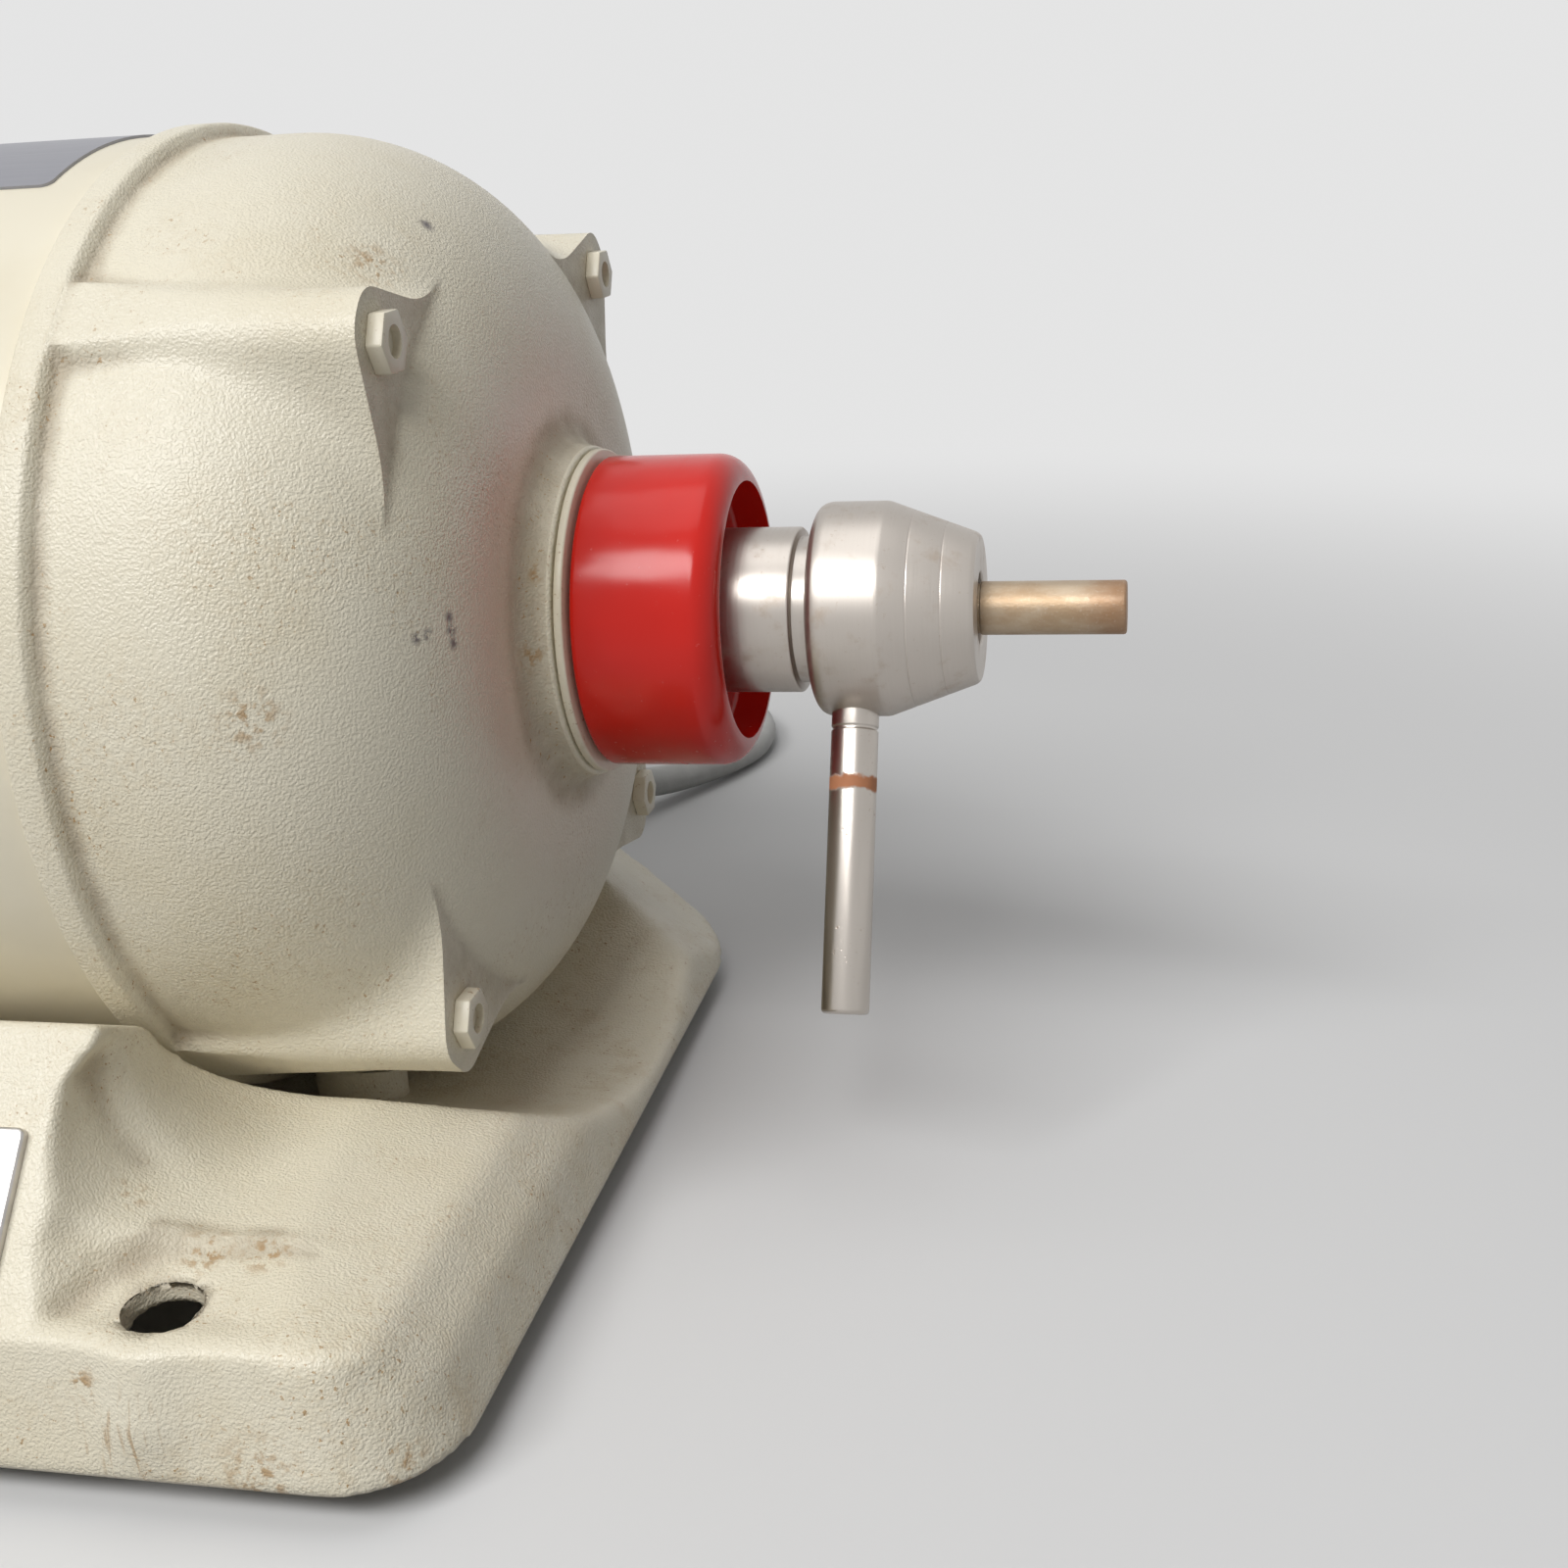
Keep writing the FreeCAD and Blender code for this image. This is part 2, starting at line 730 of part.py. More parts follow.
node("base_casting", base_casting())
node("rubber_feet", grouped(
    cut(rod(d.foot_radius, d.foot_height, x, y),
        rod(d.foot_screw_head + d.bolt_gap, d.foot_screw_head_height + d.foot_height * 0.3, x, y),
        rod(d.foot_screw_radius + d.fit_gap, d.foot_height, x, y))
    for x, y in foot_places()))
foot_screw_seat = d.foot_screw_head_height + d.foot_height * 0.3
node("foot_screws", grouped(
    joined(rod(d.foot_screw_head, d.foot_screw_head_height, x, y, foot_screw_seat - d.foot_screw_head_height),
           rod(d.foot_screw_radius, d.foot_screw_length, x, y, foot_screw_seat))
    for x, y in foot_places()))


# Motor
def bell_profile(side):
    """Half section of an end bell, from its spigot round the outside of the dome to the bearing seat."""
    face_x = bell_seat + d.face_reach
    spigot = d.shell_radius - d.shell_wall - d.spigot_gap
    boss = d.bearing_radius + d.bearing_boss_wall
    seat_end = bearing_end + (d.washer_thickness if side > 0 else 0)
    points = [
        (bell_seat - d.spigot_depth, spigot - d.bell_wall),
        (bell_seat - d.spigot_depth, spigot),
        (bell_seat, spigot),
        (bell_seat, band_radius),
        (bell_seat + d.band_width, band_radius),
        (bell_seat + d.band_width + d.recess_step * 0.5, recess_radius),
        (face_x, recess_radius),
        (face_x, d.hub_radius),
        (hub_end, d.hub_radius),
        (hub_end, d.bush_spigot_radius + d.fit_gap),
        (hub_end - d.bush_spigot_length, d.bush_spigot_radius + d.fit_gap),
        (hub_end - d.bush_spigot_length, d.ejector_radius),
        (seat_end, d.ejector_radius),
        (seat_end, d.bearing_radius + d.fit_gap),
        (bearing_start, d.bearing_radius + d.fit_gap),
        (bearing_start, boss),
        (face_x - d.bell_wall, boss),
        (face_x - d.bell_wall, recess_radius - d.bell_wall),
    ]
    return points, (face_x, recess_radius), (face_x, d.hub_radius)


def end_bell(side):
    points, shoulder, foot = bell_profile(side)
    inner = points[-1]
    inner_round = d.shoulder_round - d.bell_wall
    dome = turned([(along * side, radius) for along, radius in points])
    for (along, radius), size in ((shoulder, d.shoulder_round), (inner, inner_round), (foot, d.hub_round)):
        round_edges(dome, size, ring_edge(along * side, radius))
    ribs = []
    room = turned([
        (0, 0),
        (0, points[0][1]),
        (bell_seat * side, points[0][1]),
        (inner[0] * side, inner[1]),
        (inner[0] * side, 0),
    ])
    round_edges(room, inner_round, ring_edge(inner[0] * side, inner[1]))
    for angle in BOLT_ANGLES:
        rib = doc.addObject("Part::Wedge", "rib")
        near, far = bell_seat * side, boss_face * side
        low, high = (near, far) if side > 0 else (far, near)
        bind(rib, Xmin=low, X2min=low, Xmax=high, X2max=high)
        bind(rib, Ymin=d.shell_radius - d.rib_root_inset, Ymax=band_radius - d.bolt_gap)
        bind(rib, Zmin=-d.rib_root_half, Zmax=d.rib_root_half)
        bind(rib, Z2min=-d.rib_top_half, Z2max=d.rib_top_half)
        ribs.append(cut(place(rib, 0, d.shaft_back, shaft_height, (1, 0, 0), angle), room))
    start = (bell_seat - d.spigot_depth) * side if side > 0 else -boss_face - d.nut_height
    long = d.boss_reach + d.spigot_depth + d.nut_height
    holes = [rod(d.bolt_radius + d.bolt_gap, long, start, *around_shaft(angle, bolt_circle), "X")
             for angle in BOLT_ANGLES]
    holes += [rod(d.seat_bolt_radius, d.seat_bolt_bite + bolt_reach(), d.seat_x * side, y, seat_base)
              for y in (d.shaft_back + d.seat_offset, d.shaft_back - d.seat_offset)]
    return cut(joined(dome, *ribs), *holes)


def bolt_reach():
    """Height from the seat's pocket to the underside of the bell over it."""
    skin_height = root(recess_radius * recess_radius - d.seat_offset * d.seat_offset)
    return shaft_height - skin_height - seat_base


node("right_end_bell", end_bell(1))
node("left_end_bell", end_bell(-1))
node("motor_shell", ring(d.shell_radius - d.shell_wall, d.shell_radius, -d.shell_half, d.shell_half))


def rating_plate():
    """A bare foil plate curved over the top of the shell."""
    inner = d.shell_radius + d.foil_gap
    skin = ring(inner, inner + d.foil, -d.plate_half_length, d.plate_half_length)
    half = inner * sine(d.plate_spread)
    keep = block(d.plate_half_length * 2, half * 2, d.shell_radius * 2, -d.plate_half_length,
                 d.shaft_back - half, shaft_height)
    return shared(skin, keep)


node("rating_plate", rating_plate())


def seat_spacer(x, y):
    """A round distance piece between the base and the skin of a bell."""
    bell_skin = rod(recess_radius + d.shell_seat_gap, d.seat_radius * 3, x - d.seat_radius * 1.5,
                    d.shaft_back, shaft_height, "X")
    return cut(rod(d.seat_radius, bolt_reach() + d.seat_radius, x, y, seat_base), bell_skin,
               rod(d.seat_bolt_radius + d.fit_gap, bolt_reach() + d.seat_radius, x, y, seat_base))


node("seat_spacers", grouped(seat_spacer(x, y) for x, y in seat_places()))
node("seat_bolts", grouped(
    joined(hexagon(d.seat_bolt_head * 2, d.seat_bolt_head_height, x, y, rim - d.seat_bolt_head_height),
           rod(d.seat_bolt_radius - d.fit_gap, seat_base - rim + bolt_reach() + d.seat_bolt_bite, x, y, rim))
    for x, y in seat_places()))


def through_bolt(angle):
    y, z = around_shaft(angle, bolt_circle)
    stem = rod(d.bolt_radius, boss_face + nut_face - d.bolt_end_recess, -boss_face, y, z, "X")
    return joined(stem, hexagon(d.nut_flats, d.nut_height, -nut_face, y, z, "X"))


def through_nut(angle):
    y, z = around_shaft(angle, bolt_circle)
    return cut(hexagon(d.nut_flats, d.nut_height, boss_face, y, z, "X"),
               rod(d.bolt_radius + d.fit_gap, d.nut_height, boss_face, y, z, "X"))


node("through_bolts", grouped(through_bolt(angle) for angle in BOLT_ANGLES))
node("through_bolt_nuts", grouped(through_nut(angle) for angle in BOLT_ANGLES))

stator_bore = d.rotor_radius + d.air_gap
core_room = d.shell_radius - d.shell_wall - d.spigot_gap
node("stator_core", cut(
    ring(stator_bore, core_room, -d.core_half, d.core_half),
    *(rod(d.bolt_radius + d.bolt_gap * 2, d.core_half * 2, -d.core_half,
          *around_shaft(angle, bolt_circle), "X") for angle in BOLT_ANGLES)))


def end_winding(side):
    """The bundle of wire that stands out of one end of the stator, with its edges eased."""
    ease = (d.winding_outer - d.winding_inner) * 0.3
    start, end = d.core_half * side, (d.core_half + d.winding_length) * side
    near_end = end - ease * side
    return turned([(start, d.winding_inner), (near_end, d.winding_inner), (end, d.winding_inner + ease),
                   (end, d.winding_outer - ease), (near_end, d.winding_outer), (start, d.winding_outer)])


node("stator_windings", grouped(mirrored_pair(end_winding)))
node("rotor_core", ring(d.shaft_radius + d.fit_gap, d.rotor_radius, -d.core_half, d.core_half))
node("rotor_end_rings", grouped(mirrored_pair(
    lambda side: ring(d.ring_inner, d.ring_outer, d.core_half * side, (d.core_half + d.ring_length) * side))))

taper_end = chuck_start + d.taper_length
shaft_half = [
    (bearing_start, d.shaft_radius),
    (bearing_start, d.journal_radius),
    (bearing_end + d.washer_thickness, d.journal_radius),
    (bearing_end + d.washer_thickness, d.neck_radius),
    (chuck_start - d.push_gap, d.neck_radius),
    (chuck_start, d.taper_big_radius),
    (taper_end, d.taper_small_radius),
    (taper_end, Size.of(0)),
]
node("shaft", turned([(along, radius) for along, radius in shaft_half]
                     + [(-along, radius) for along, radius in reversed(shaft_half)]))


# Ball bearings
def bearing(side, name):
    start, end = bearing_start * side, bearing_end * side
    middle = (bearing_start + bearing_end) * 0.5 * side
    groove = doc.addObject("Part::Torus", "groove")
    bind(groove, Radius1=pitch_radius, Radius2=d.ball_radius + d.ball_gap)
    place(groove, middle, d.shaft_back, shaft_height, (0, 1, 0), 90)
    bore = d.journal_radius + d.fit_gap
    node(f"{name}_bearing_inner_race", cut(ring(bore, bore + d.bearing_wall, start, end), groove))
    outer_race = ring(d.bearing_radius - d.bearing_wall, d.bearing_radius, start, end)
    node(f"{name}_bearing_outer_race", cut(outer_race, groove))
    spots = [around_shaft(360 / BALLS * index, pitch_radius) for index in range(BALLS)]
    pockets = [ball(d.ball_radius + d.ball_gap, middle, y, z) for y, z in spots]
    half = d.cage_width * 0.5
    cage = ring(pitch_radius - d.cage_half_thickness, pitch_radius + d.cage_half_thickness,
                middle - half, middle + half)
    node(f"{name}_bearing_cage", cut(cage, *pockets))
    node(f"{name}_bearing_balls", grouped(ball(d.ball_radius, middle, y, z) for y, z in spots))


bearing(1, "right")
bearing(-1, "left")
node("preload_washer", ring(d.ejector_radius + d.bolt_gap, d.bearing_radius - d.bolt_gap,
                            bearing_end, bearing_end + d.washer_thickness))


# Release collars
def release_unit(side, name):
    """The bush on the hub, the collar that turns on it, and the ejector that the collar drives."""
    def half(points):
        return turned([(along * side, radius) for along, radius in points])

    bore = d.ejector_radius + d.running_gap
    bush = half([
        (hub_end - d.bush_spigot_length, bore),
        (hub_end - d.bush_spigot_length, d.bush_spigot_radius),
        (ring_start, d.bush_spigot_radius),
        (ring_start, d.bush_ring_radius),
        (ring_end, d.bush_ring_radius),
        (ring_end, d.bush_radius),
        (bush_end, d.bush_radius),
        (bush_end, bore),
    ])
    slot_half = d.cam_pin_radius + d.running_gap
    slot_start = cam_pin_x - slot_half
    slot_long = bush_end - slot_start + d.bush_ring_thickness
    slot_x = slot_start if side > 0 else -slot_start - slot_long
    slot = block(slot_long, d.bush_radius * 3, slot_half * 2, slot_x,
                 d.shaft_back - d.bush_radius * 1.5, shaft_height - slot_half)
    node(f"{name}_collar_bush", cut(bush, slot))

    groove_start = cam_pin_x - slot_half - d.cam_groove_wall * 0.4
    groove_end = bush_end + d.collar_gap
    groove_radius = d.cam_pin_reach + d.cam_groove_wall
    collar = half([
        (collar_start, d.bush_radius + d.running_gap),
        (collar_start, d.collar_radius),
        (collar_end, d.collar_radius),
        (collar_end, d.collar_mouth_radius),
        (collar_end - d.collar_mouth_depth, d.collar_mouth_radius),
        (collar_end - d.collar_mouth_depth, d.chuck_radius + d.collar_throat_gap),
        (groove_end, d.chuck_radius + d.collar_throat_gap),
        (groove_end, groove_radius),
        (groove_start, groove_radius),
        (groove_start, d.bush_radius + d.running_gap),
    ])
    round_edges(collar, d.collar_round, ring_edge(collar_end * side, d.collar_radius))
    node(f"{name}_release_collar", collar)

    ejector_start = ejector_end - d.ejector_length
    sleeve = half([
        (ejector_start, d.neck_radius + d.ejector_bore_gap),
        (ejector_end, d.neck_radius + d.ejector_bore_gap),
        (ejector_end, d.ejector_radius),
        (ejector_start, d.ejector_radius),
    ])
    pin_root = d.neck_radius + d.ejector_bore_gap + d.cam_pin_radius
    pin_long = d.cam_pin_reach - pin_root
    centre = cam_pin_x * side
    starts = (d.shaft_back + pin_root, d.shaft_back - d.cam_pin_reach)
    seats = [rod(d.cam_pin_radius + d.fit_gap, pin_long, centre, y, shaft_height, "Y") for y in starts]
    node(f"{name}_ejector_sleeve", cut(sleeve, *seats))
    node(f"{name}_cam_pins", grouped(
        rod(d.cam_pin_radius, pin_long, centre, y, shaft_height, "Y") for y in starts))


release_unit(1, "right")
release_unit(-1, "left")


# Lever chuck on the right end
def taper_socket(side):
    """Bore that fits the shaft's taper, for a chuck or spindle that starts at the ejector."""
    return [
        ((taper_end + d.push_gap) * side, Size.of(0)),
        ((taper_end + d.push_gap) * side, d.taper_small_radius + d.fit_gap),
        (taper_end * side, d.taper_small_radius + d.fit_gap),
        (chuck_start * side, d.taper_big_radius + d.fit_gap),
    ]


collet_start = taper_end + d.push_gap * 4 + d.groove_width * 0.5
collet_shoulder = collet_start + d.collet_tail
neck_end = closer_start + d.chuck_neck_length
closer_end = closer_start + d.closer_length
collet_end = collet_shoulder + d.collet_nose_length
well_start = collet_start - d.push_gap * 2

node("chuck_body", turned(taper_socket(1) + [
    (chuck_start, d.chuck_radius),
    (sleeve_end, d.chuck_radius),
    (sleeve_end, d.groove_radius),
    (closer_start - d.push_gap, d.groove_radius),
    (closer_start - d.push_gap, d.chuck_neck_radius),
    (neck_end, d.chuck_neck_radius),
    (neck_end, d.collet_radius + d.running_gap),
    (well_start, d.collet_radius + d.running_gap),
    (well_start, Size.of(0)),
]))


def closing_collar():
    """The collar that closes the collet: a barrel, a cone, and a hole for the lever."""
    seat_radius = d.collet_radius + d.running_gap * 2
    body = turned([
        (closer_start, d.chuck_neck_radius + d.running_gap),
        (closer_start, d.closer_radius),
        (closer_start + d.closer_barrel, d.closer_radius),
        (closer_end, d.closer_nose_radius),
        (closer_end, d.collet_nose_radius + d.running_gap * 2),
        (collet_end, d.collet_nose_radius + d.running_gap * 2),
        (neck_end + d.push_gap, seat_radius),
        (neck_end + d.push_gap, d.chuck_neck_radius + d.running_gap),
    ])
    round_edges(body, d.closer_rim_round, ring_edge(closer_start, d.closer_radius))
    return cut(body, lever_rod(d.lever_radius + d.fit_gap, d.closer_radius + d.lever_radius))


def lever_rod(radius, reach):
    """A rod that leaves the closing collar downwards, leaning to the front."""
    root_radius = d.closer_radius - d.lever_depth
    y = d.shaft_back - root_radius * sine(d.lever_lean)
    z = shaft_height - root_radius * cosine(d.lever_lean)
    thing = doc.addObject("Part::Cylinder", "lever")
    bind(thing, Radius=radius, Height=reach - root_radius)
    return place(thing, closer_start + d.lever_set, y, z, (1, 0, 0), 180 - d.lever_lean)


def lever():
    """The lever with its free end chamfered."""
    rod_body = lever_rod(d.lever_radius, d.lever_reach - d.lever_chamfer)
    tip = doc.addObject("Part::Cone", "tip")
    bind(tip, Radius1=d.lever_radius, Radius2=d.lever_radius - d.lever_chamfer, Height=d.lever_chamfer)
    reach = d.lever_reach - d.lever_chamfer
    y = d.shaft_back - reach * sine(d.lever_lean)
    z = shaft_height - reach * cosine(d.lever_lean)
    place(tip, closer_start + d.lever_set, y, z, (1, 0, 0), 180 - d.lever_lean)
    return joined(rod_body, tip)


node("closing_collar", closing_collar())
node("lever_rod", lever())


def collet():
    """A split collet with a straight tail and a tapered nose."""
    bore = d.shank_radius + d.fit_gap
    body = turned([
        (collet_start, bore),
        (collet_start, d.collet_radius),
        (collet_shoulder, d.collet_radius),
        (collet_end, d.collet_nose_radius),
        (collet_end, bore),
    ])
    slot_start = collet_start + d.collet_tail * 0.4
    slots = [block(d.collet_tail + d.collet_nose_length, d.collet_radius * 3, d.collet_slot, slot_start,
                   d.shaft_back - d.collet_radius * 1.5, shaft_height - d.collet_slot * 0.5),
             block(d.collet_tail + d.collet_nose_length, d.collet_slot, d.collet_radius * 3, slot_start,
                   d.shaft_back - d.collet_slot * 0.5, shaft_height - d.collet_radius * 1.5)]
    return cut(body, *slots)


node("collet", collet())
pin_start = collet_end - d.pin_grip
node("mandrel_pin", turned([
    (pin_start, 0),
    (pin_start, d.shank_radius),
    (closer_end + d.push_gap, d.shank_radius),
    (closer_end + d.push_gap, d.pin_radius),
    (d.tip_reach - d.lever_chamfer, d.pin_radius),
    (d.tip_reach, d.pin_radius - d.lever_chamfer),
    (d.tip_reach, 0),
]))

# Tapered screw spindle on the left end
node("screw_spindle", turned(taper_socket(-1) + [
    (-chuck_start, d.chuck_radius),
    (-sleeve_end, d.chuck_radius),
    (-sleeve_end, d.groove_radius),
    (-closer_start, d.groove_radius),
    (-closer_start, d.screw_big_radius),
    (-d.tip_reach, d.screw_small_radius),
    (-d.tip_reach, Size.of(0)),
]))

# Switch
plate_hole = panel_rod(d.switch_neck_radius + d.bolt_gap, d.switch_plate_thickness * 3,
                       0, 0, -d.switch_plate_thickness)
plate_screw_holes = [
    panel_rod(d.plate_screw_radius + d.fit_gap, d.switch_plate_thickness * 3,
              d.plate_screw_x * side, 0, -d.switch_plate_thickness) for side in (1, -1)]
node("switch_plate", cut(
    panel_block(d.switch_plate_half * 2, d.switch_plate_height, d.switch_plate_thickness,
                Size.of(0), Size.of(0), 0),
    plate_hole, *plate_screw_holes))
node("switch_plate_screws", grouped(
    joined(panel_rod(d.plate_screw_head, d.plate_screw_head_height, d.plate_screw_x * side, 0,
                     d.switch_plate_thickness),
           panel_rod(d.plate_screw_radius, d.plate_screw_length, d.plate_screw_x * side, 0,
                     d.switch_plate_thickness - d.plate_screw_length))
    for side in (1, -1)))
neck_top = d.switch_plate_thickness + d.switch_neck_rise
neck_base = -d.base_wall - d.bolt_gap
socket_floor = neck_top - d.toggle_seat_depth - d.switch_neck_rise * 0.5
mouth = doc.addObject("Part::Cone", "mouth")
bind(mouth, Radius1=d.toggle_root_radius + d.running_gap * 10, Radius2=d.switch_neck_radius - d.bolt_gap * 2,
     Height=neck_top - socket_floor)
place(mouth, *panel_point(Size.of(0), Size.of(0), socket_floor), (1, 0, 0), d.panel_angle)
node("switch_body", cut(
    joined(panel_block(d.switch_width, d.switch_height, d.switch_depth,
                       Size.of(0), Size.of(0), neck_base - d.switch_depth),
           panel_rod(d.switch_neck_radius, neck_top - neck_base, 0, 0, neck_base)),
    mouth))
node("switch_nut", cut(
    place(hexagon(d.switch_nut_flats, d.switch_nut_height),
          *panel_point(Size.of(0), Size.of(0), d.switch_plate_thickness), (1, 0, 0), d.panel_angle),
    panel_rod(d.switch_neck_radius + d.fit_gap, d.switch_nut_height * 2, 0, 0, d.switch_plate_thickness)))


def toggle():
    """The bat handle, which pivots near the floor of the switch's neck."""
    foot = socket_floor + d.toggle_foot_gap
    bat = doc.addObject("Part::Cone", "bat")
    bind(bat, Radius1=d.toggle_root_radius, Radius2=d.toggle_tip_radius, Height=d.toggle_length)
    place(bat, *panel_point(Size.of(0), Size.of(0), foot), (1, 0, 0), d.panel_angle)
    tip = ball(d.toggle_tip_radius, *panel_point(Size.of(0), Size.of(0), foot + d.toggle_length))
    return joined(bat, tip)


node("toggle_lever", toggle())

# Run capacitor in its clamp, under the roof of the base
node("run_capacitor", rod(d.capacitor_radius, d.capacitor_half_length * 2,
                          capacitor_x - d.capacitor_half_length, capacitor_y, capacitor_z, "X"))


def capacitor_clamp():
    """A band round the capacitor with an ear that stands against a boss in the base."""
    start = capacitor_x - d.clamp_width * 0.5
    band = rod(d.capacitor_radius + d.clamp_thickness, d.clamp_width, start, capacitor_y, capacitor_z, "X")
    ear = block(d.clamp_width, d.clamp_ear, rim + d.clamp_boss_height - capacitor_z,
                start, clamp_boss_y - d.clamp_ear * 0.5, capacitor_z)
    can_hole = rod(d.capacitor_radius + d.fit_gap, d.clamp_width, start, capacitor_y, capacitor_z, "X")
    return cut(joined(band, ear), can_hole)


node("capacitor_clamp", capacitor_clamp())

# Mains cord
boot_z = d.boot_height
boot_tip_y = d.base_half_depth + d.boot_length - d.skirt_inset * 0.5
wall_out = d.base_half_depth
node("strain_relief", turned([
    (boot_inside, 0),
    (boot_inside, d.boot_flange_radius),
    (boot_inside + d.boot_flange, d.boot_flange_radius),
    (boot_inside + d.boot_flange, d.boot_neck_radius),
    (wall_out, d.boot_neck_radius),
    (wall_out, d.boot_radius),
    (wall_out + d.boot_flange, d.boot_radius),
    (boot_tip_y, d.boot_tip_radius),
    (boot_tip_y, 0),
], d.cord_exit_x, 0, boot_z, (0, 0, 1), 90))


def vector(point):
    return FreeCAD.Vector(*point)


def rounded_route(points, name):
    """Straight runs with the largest tangent arcs that the runs leave room for."""
    edges = []
    radii = []
    last = points[0]
    for before, corner, after in zip(points, points[1:], points[2:]):
        into = (corner - before).normalize()
        out = (after - corner).normalize()
        half_turn = into.getAngle(out) / 2
        trim = 0.45 * min(corner.distanceToPoint(before), corner.distanceToPoint(after))
        radii.append(trim / math.tan(half_turn))
        start = corner - into * trim
        end = corner + out * trim
        middle = corner + (out - into).normalize() * (radii[-1] / math.cos(half_turn) - radii[-1])
        edges.append(Part.LineSegment(last, start).toShape())
        edges.append(Part.Arc(start, middle, end).toShape())
        last = end
    edges.append(Part.LineSegment(last, points[-1]).toShape())
    print(name, "radii", [round(radius, 1) for radius in radii])
    return Part.Wire(edges)


def tube(path, radius, name):
    """A round tube along a path, compared with its section times its length."""
    start = path.OrderedEdges[0]
    direction = start.tangentAt(start.FirstParameter)
    circle = Part.Wire(Part.makeCircle(radius, start.valueAt(start.FirstParameter), direction))
    solid = path.makePipeShell([circle], True, False)
    expected = math.pi * radius * radius * path.Length
    print(name, "length", round(path.Length, 1), "volume share", round(solid.Volume / expected, 4))
    thing = doc.addObject("Part::Feature", name)
    thing.Shape = solid
    return thing


cord = d.cord_radius.value
coil_z = d.coil_lift.value + cord
coil_top = FreeCAD.Vector(COIL_CENTRE[0], COIL_CENTRE[1] + d.coil_outer_radius.value, coil_z)
coil_lead = coil_top + FreeCAD.Vector(2 * cord, 0, 0)
exit_point = FreeCAD.Vector(d.cord_exit_x.value, boot_tip_y.value, boot_z.value)
route = [exit_point] + [vector(point) for point in CORD_POINTS] + [coil_lead]
node("power_cord", tube(rounded_route(route, "power_cord"), cord, "power_cord"))


def half_turn_arc(start, radius, side):
    """A level half turn about a centre in line with its ends, on the left or right of them."""
    way = 1 if side == "right" else -1
    end = start + FreeCAD.Vector(0, 2 * radius * way, 0)
    middle = (start + end) * 0.5 + FreeCAD.Vector(radius * way, 0, 0)
    return Part.Arc(start, middle, end).toShape(), end


def biarc(start, start_way, end, end_way):
    """Two arcs that leave one point and reach another in given directions."""
    gap = end - start
    both = start_way + end_way
    spread = 2 * (1 - start_way.dot(end_way))
    lean = gap.dot(both)
    reach = (-lean + math.sqrt(lean * lean + spread * gap.dot(gap))) / spread
    joint = (start + end + (start_way - end_way) * reach) * 0.5
    edges = []
    halves = ((start, start + start_way * reach, joint), (joint, end - end_way * reach, end))
    for first, corner, last in halves:
        weight = first.distanceToPoint(last) / (2 * reach)
        middle = (first + last + corner * (2 * weight)) / (2 + 2 * weight)
        edges.append(Part.Arc(first, middle, last).toShape())
    return edges


def coil_path():
    """Turns that spiral in on the lower layer, climb in half a turn, and spiral out on the upper."""
    step = d.coil_pitch.value / 2
    lower = [d.coil_outer_radius.value - step * index for index in range(LAYER_HALF_TURNS)]
    climb_radius = lower[-1] - step
    upper = [climb_radius + step / 2] + lower[-2::-1]
    edges = [Part.LineSegment(coil_lead, coil_top).toShape()]
    at = coil_top
    for index, radius in enumerate(lower):
        arc, at = half_turn_arc(at, radius, "left" if index % 2 == 0 else "right")
        edges.append(arc)
    rise = d.coil_pitch.value
    middle = at + FreeCAD.Vector(climb_radius, climb_radius, rise * 0.5)
    end = at + FreeCAD.Vector(0, 2 * climb_radius, rise)
    slope = FreeCAD.Vector(0, math.pi * climb_radius, rise * 1.5).normalize()
    edges += biarc(at, FreeCAD.Vector(1, 0, 0), middle, slope)
    edges += biarc(middle, slope, end, FreeCAD.Vector(-1, 0, 0))
    at = end
    for index, radius in enumerate(upper):
        arc, at = half_turn_arc(at, radius, "left" if index % 2 == 0 else "right")
        edges.append(arc)
    turn = math.radians(TAIL_TURN)
    bend = at + FreeCAD.Vector(math.sin(turn / 2), math.cos(turn / 2) - 1, 0) * TAIL_RADIUS
    bend_end = at + FreeCAD.Vector(math.sin(turn), math.cos(turn) - 1, 0) * TAIL_RADIUS
    way = FreeCAD.Vector(math.cos(turn), -math.sin(turn), 0)
    edges.append(Part.Arc(at, bend, bend_end).toShape())
    tail = bend_end + way * (2 * cord)
    edges.append(Part.LineSegment(bend_end, tail).toShape())
    return Part.Wire(edges), tail


def least_gap(path):
    """The least distance between turns, measured on points along the middle of the tube."""
    spacing = cord
    points = path.discretize(Distance=spacing)
    apart = int(math.pi * d.coil_outer_radius.value / spacing / 3)
    gaps = [first.distanceToPoint(second) for index, first in enumerate(points)
            for second in points[index + apart:]]
    return min(gaps) - 2 * cord


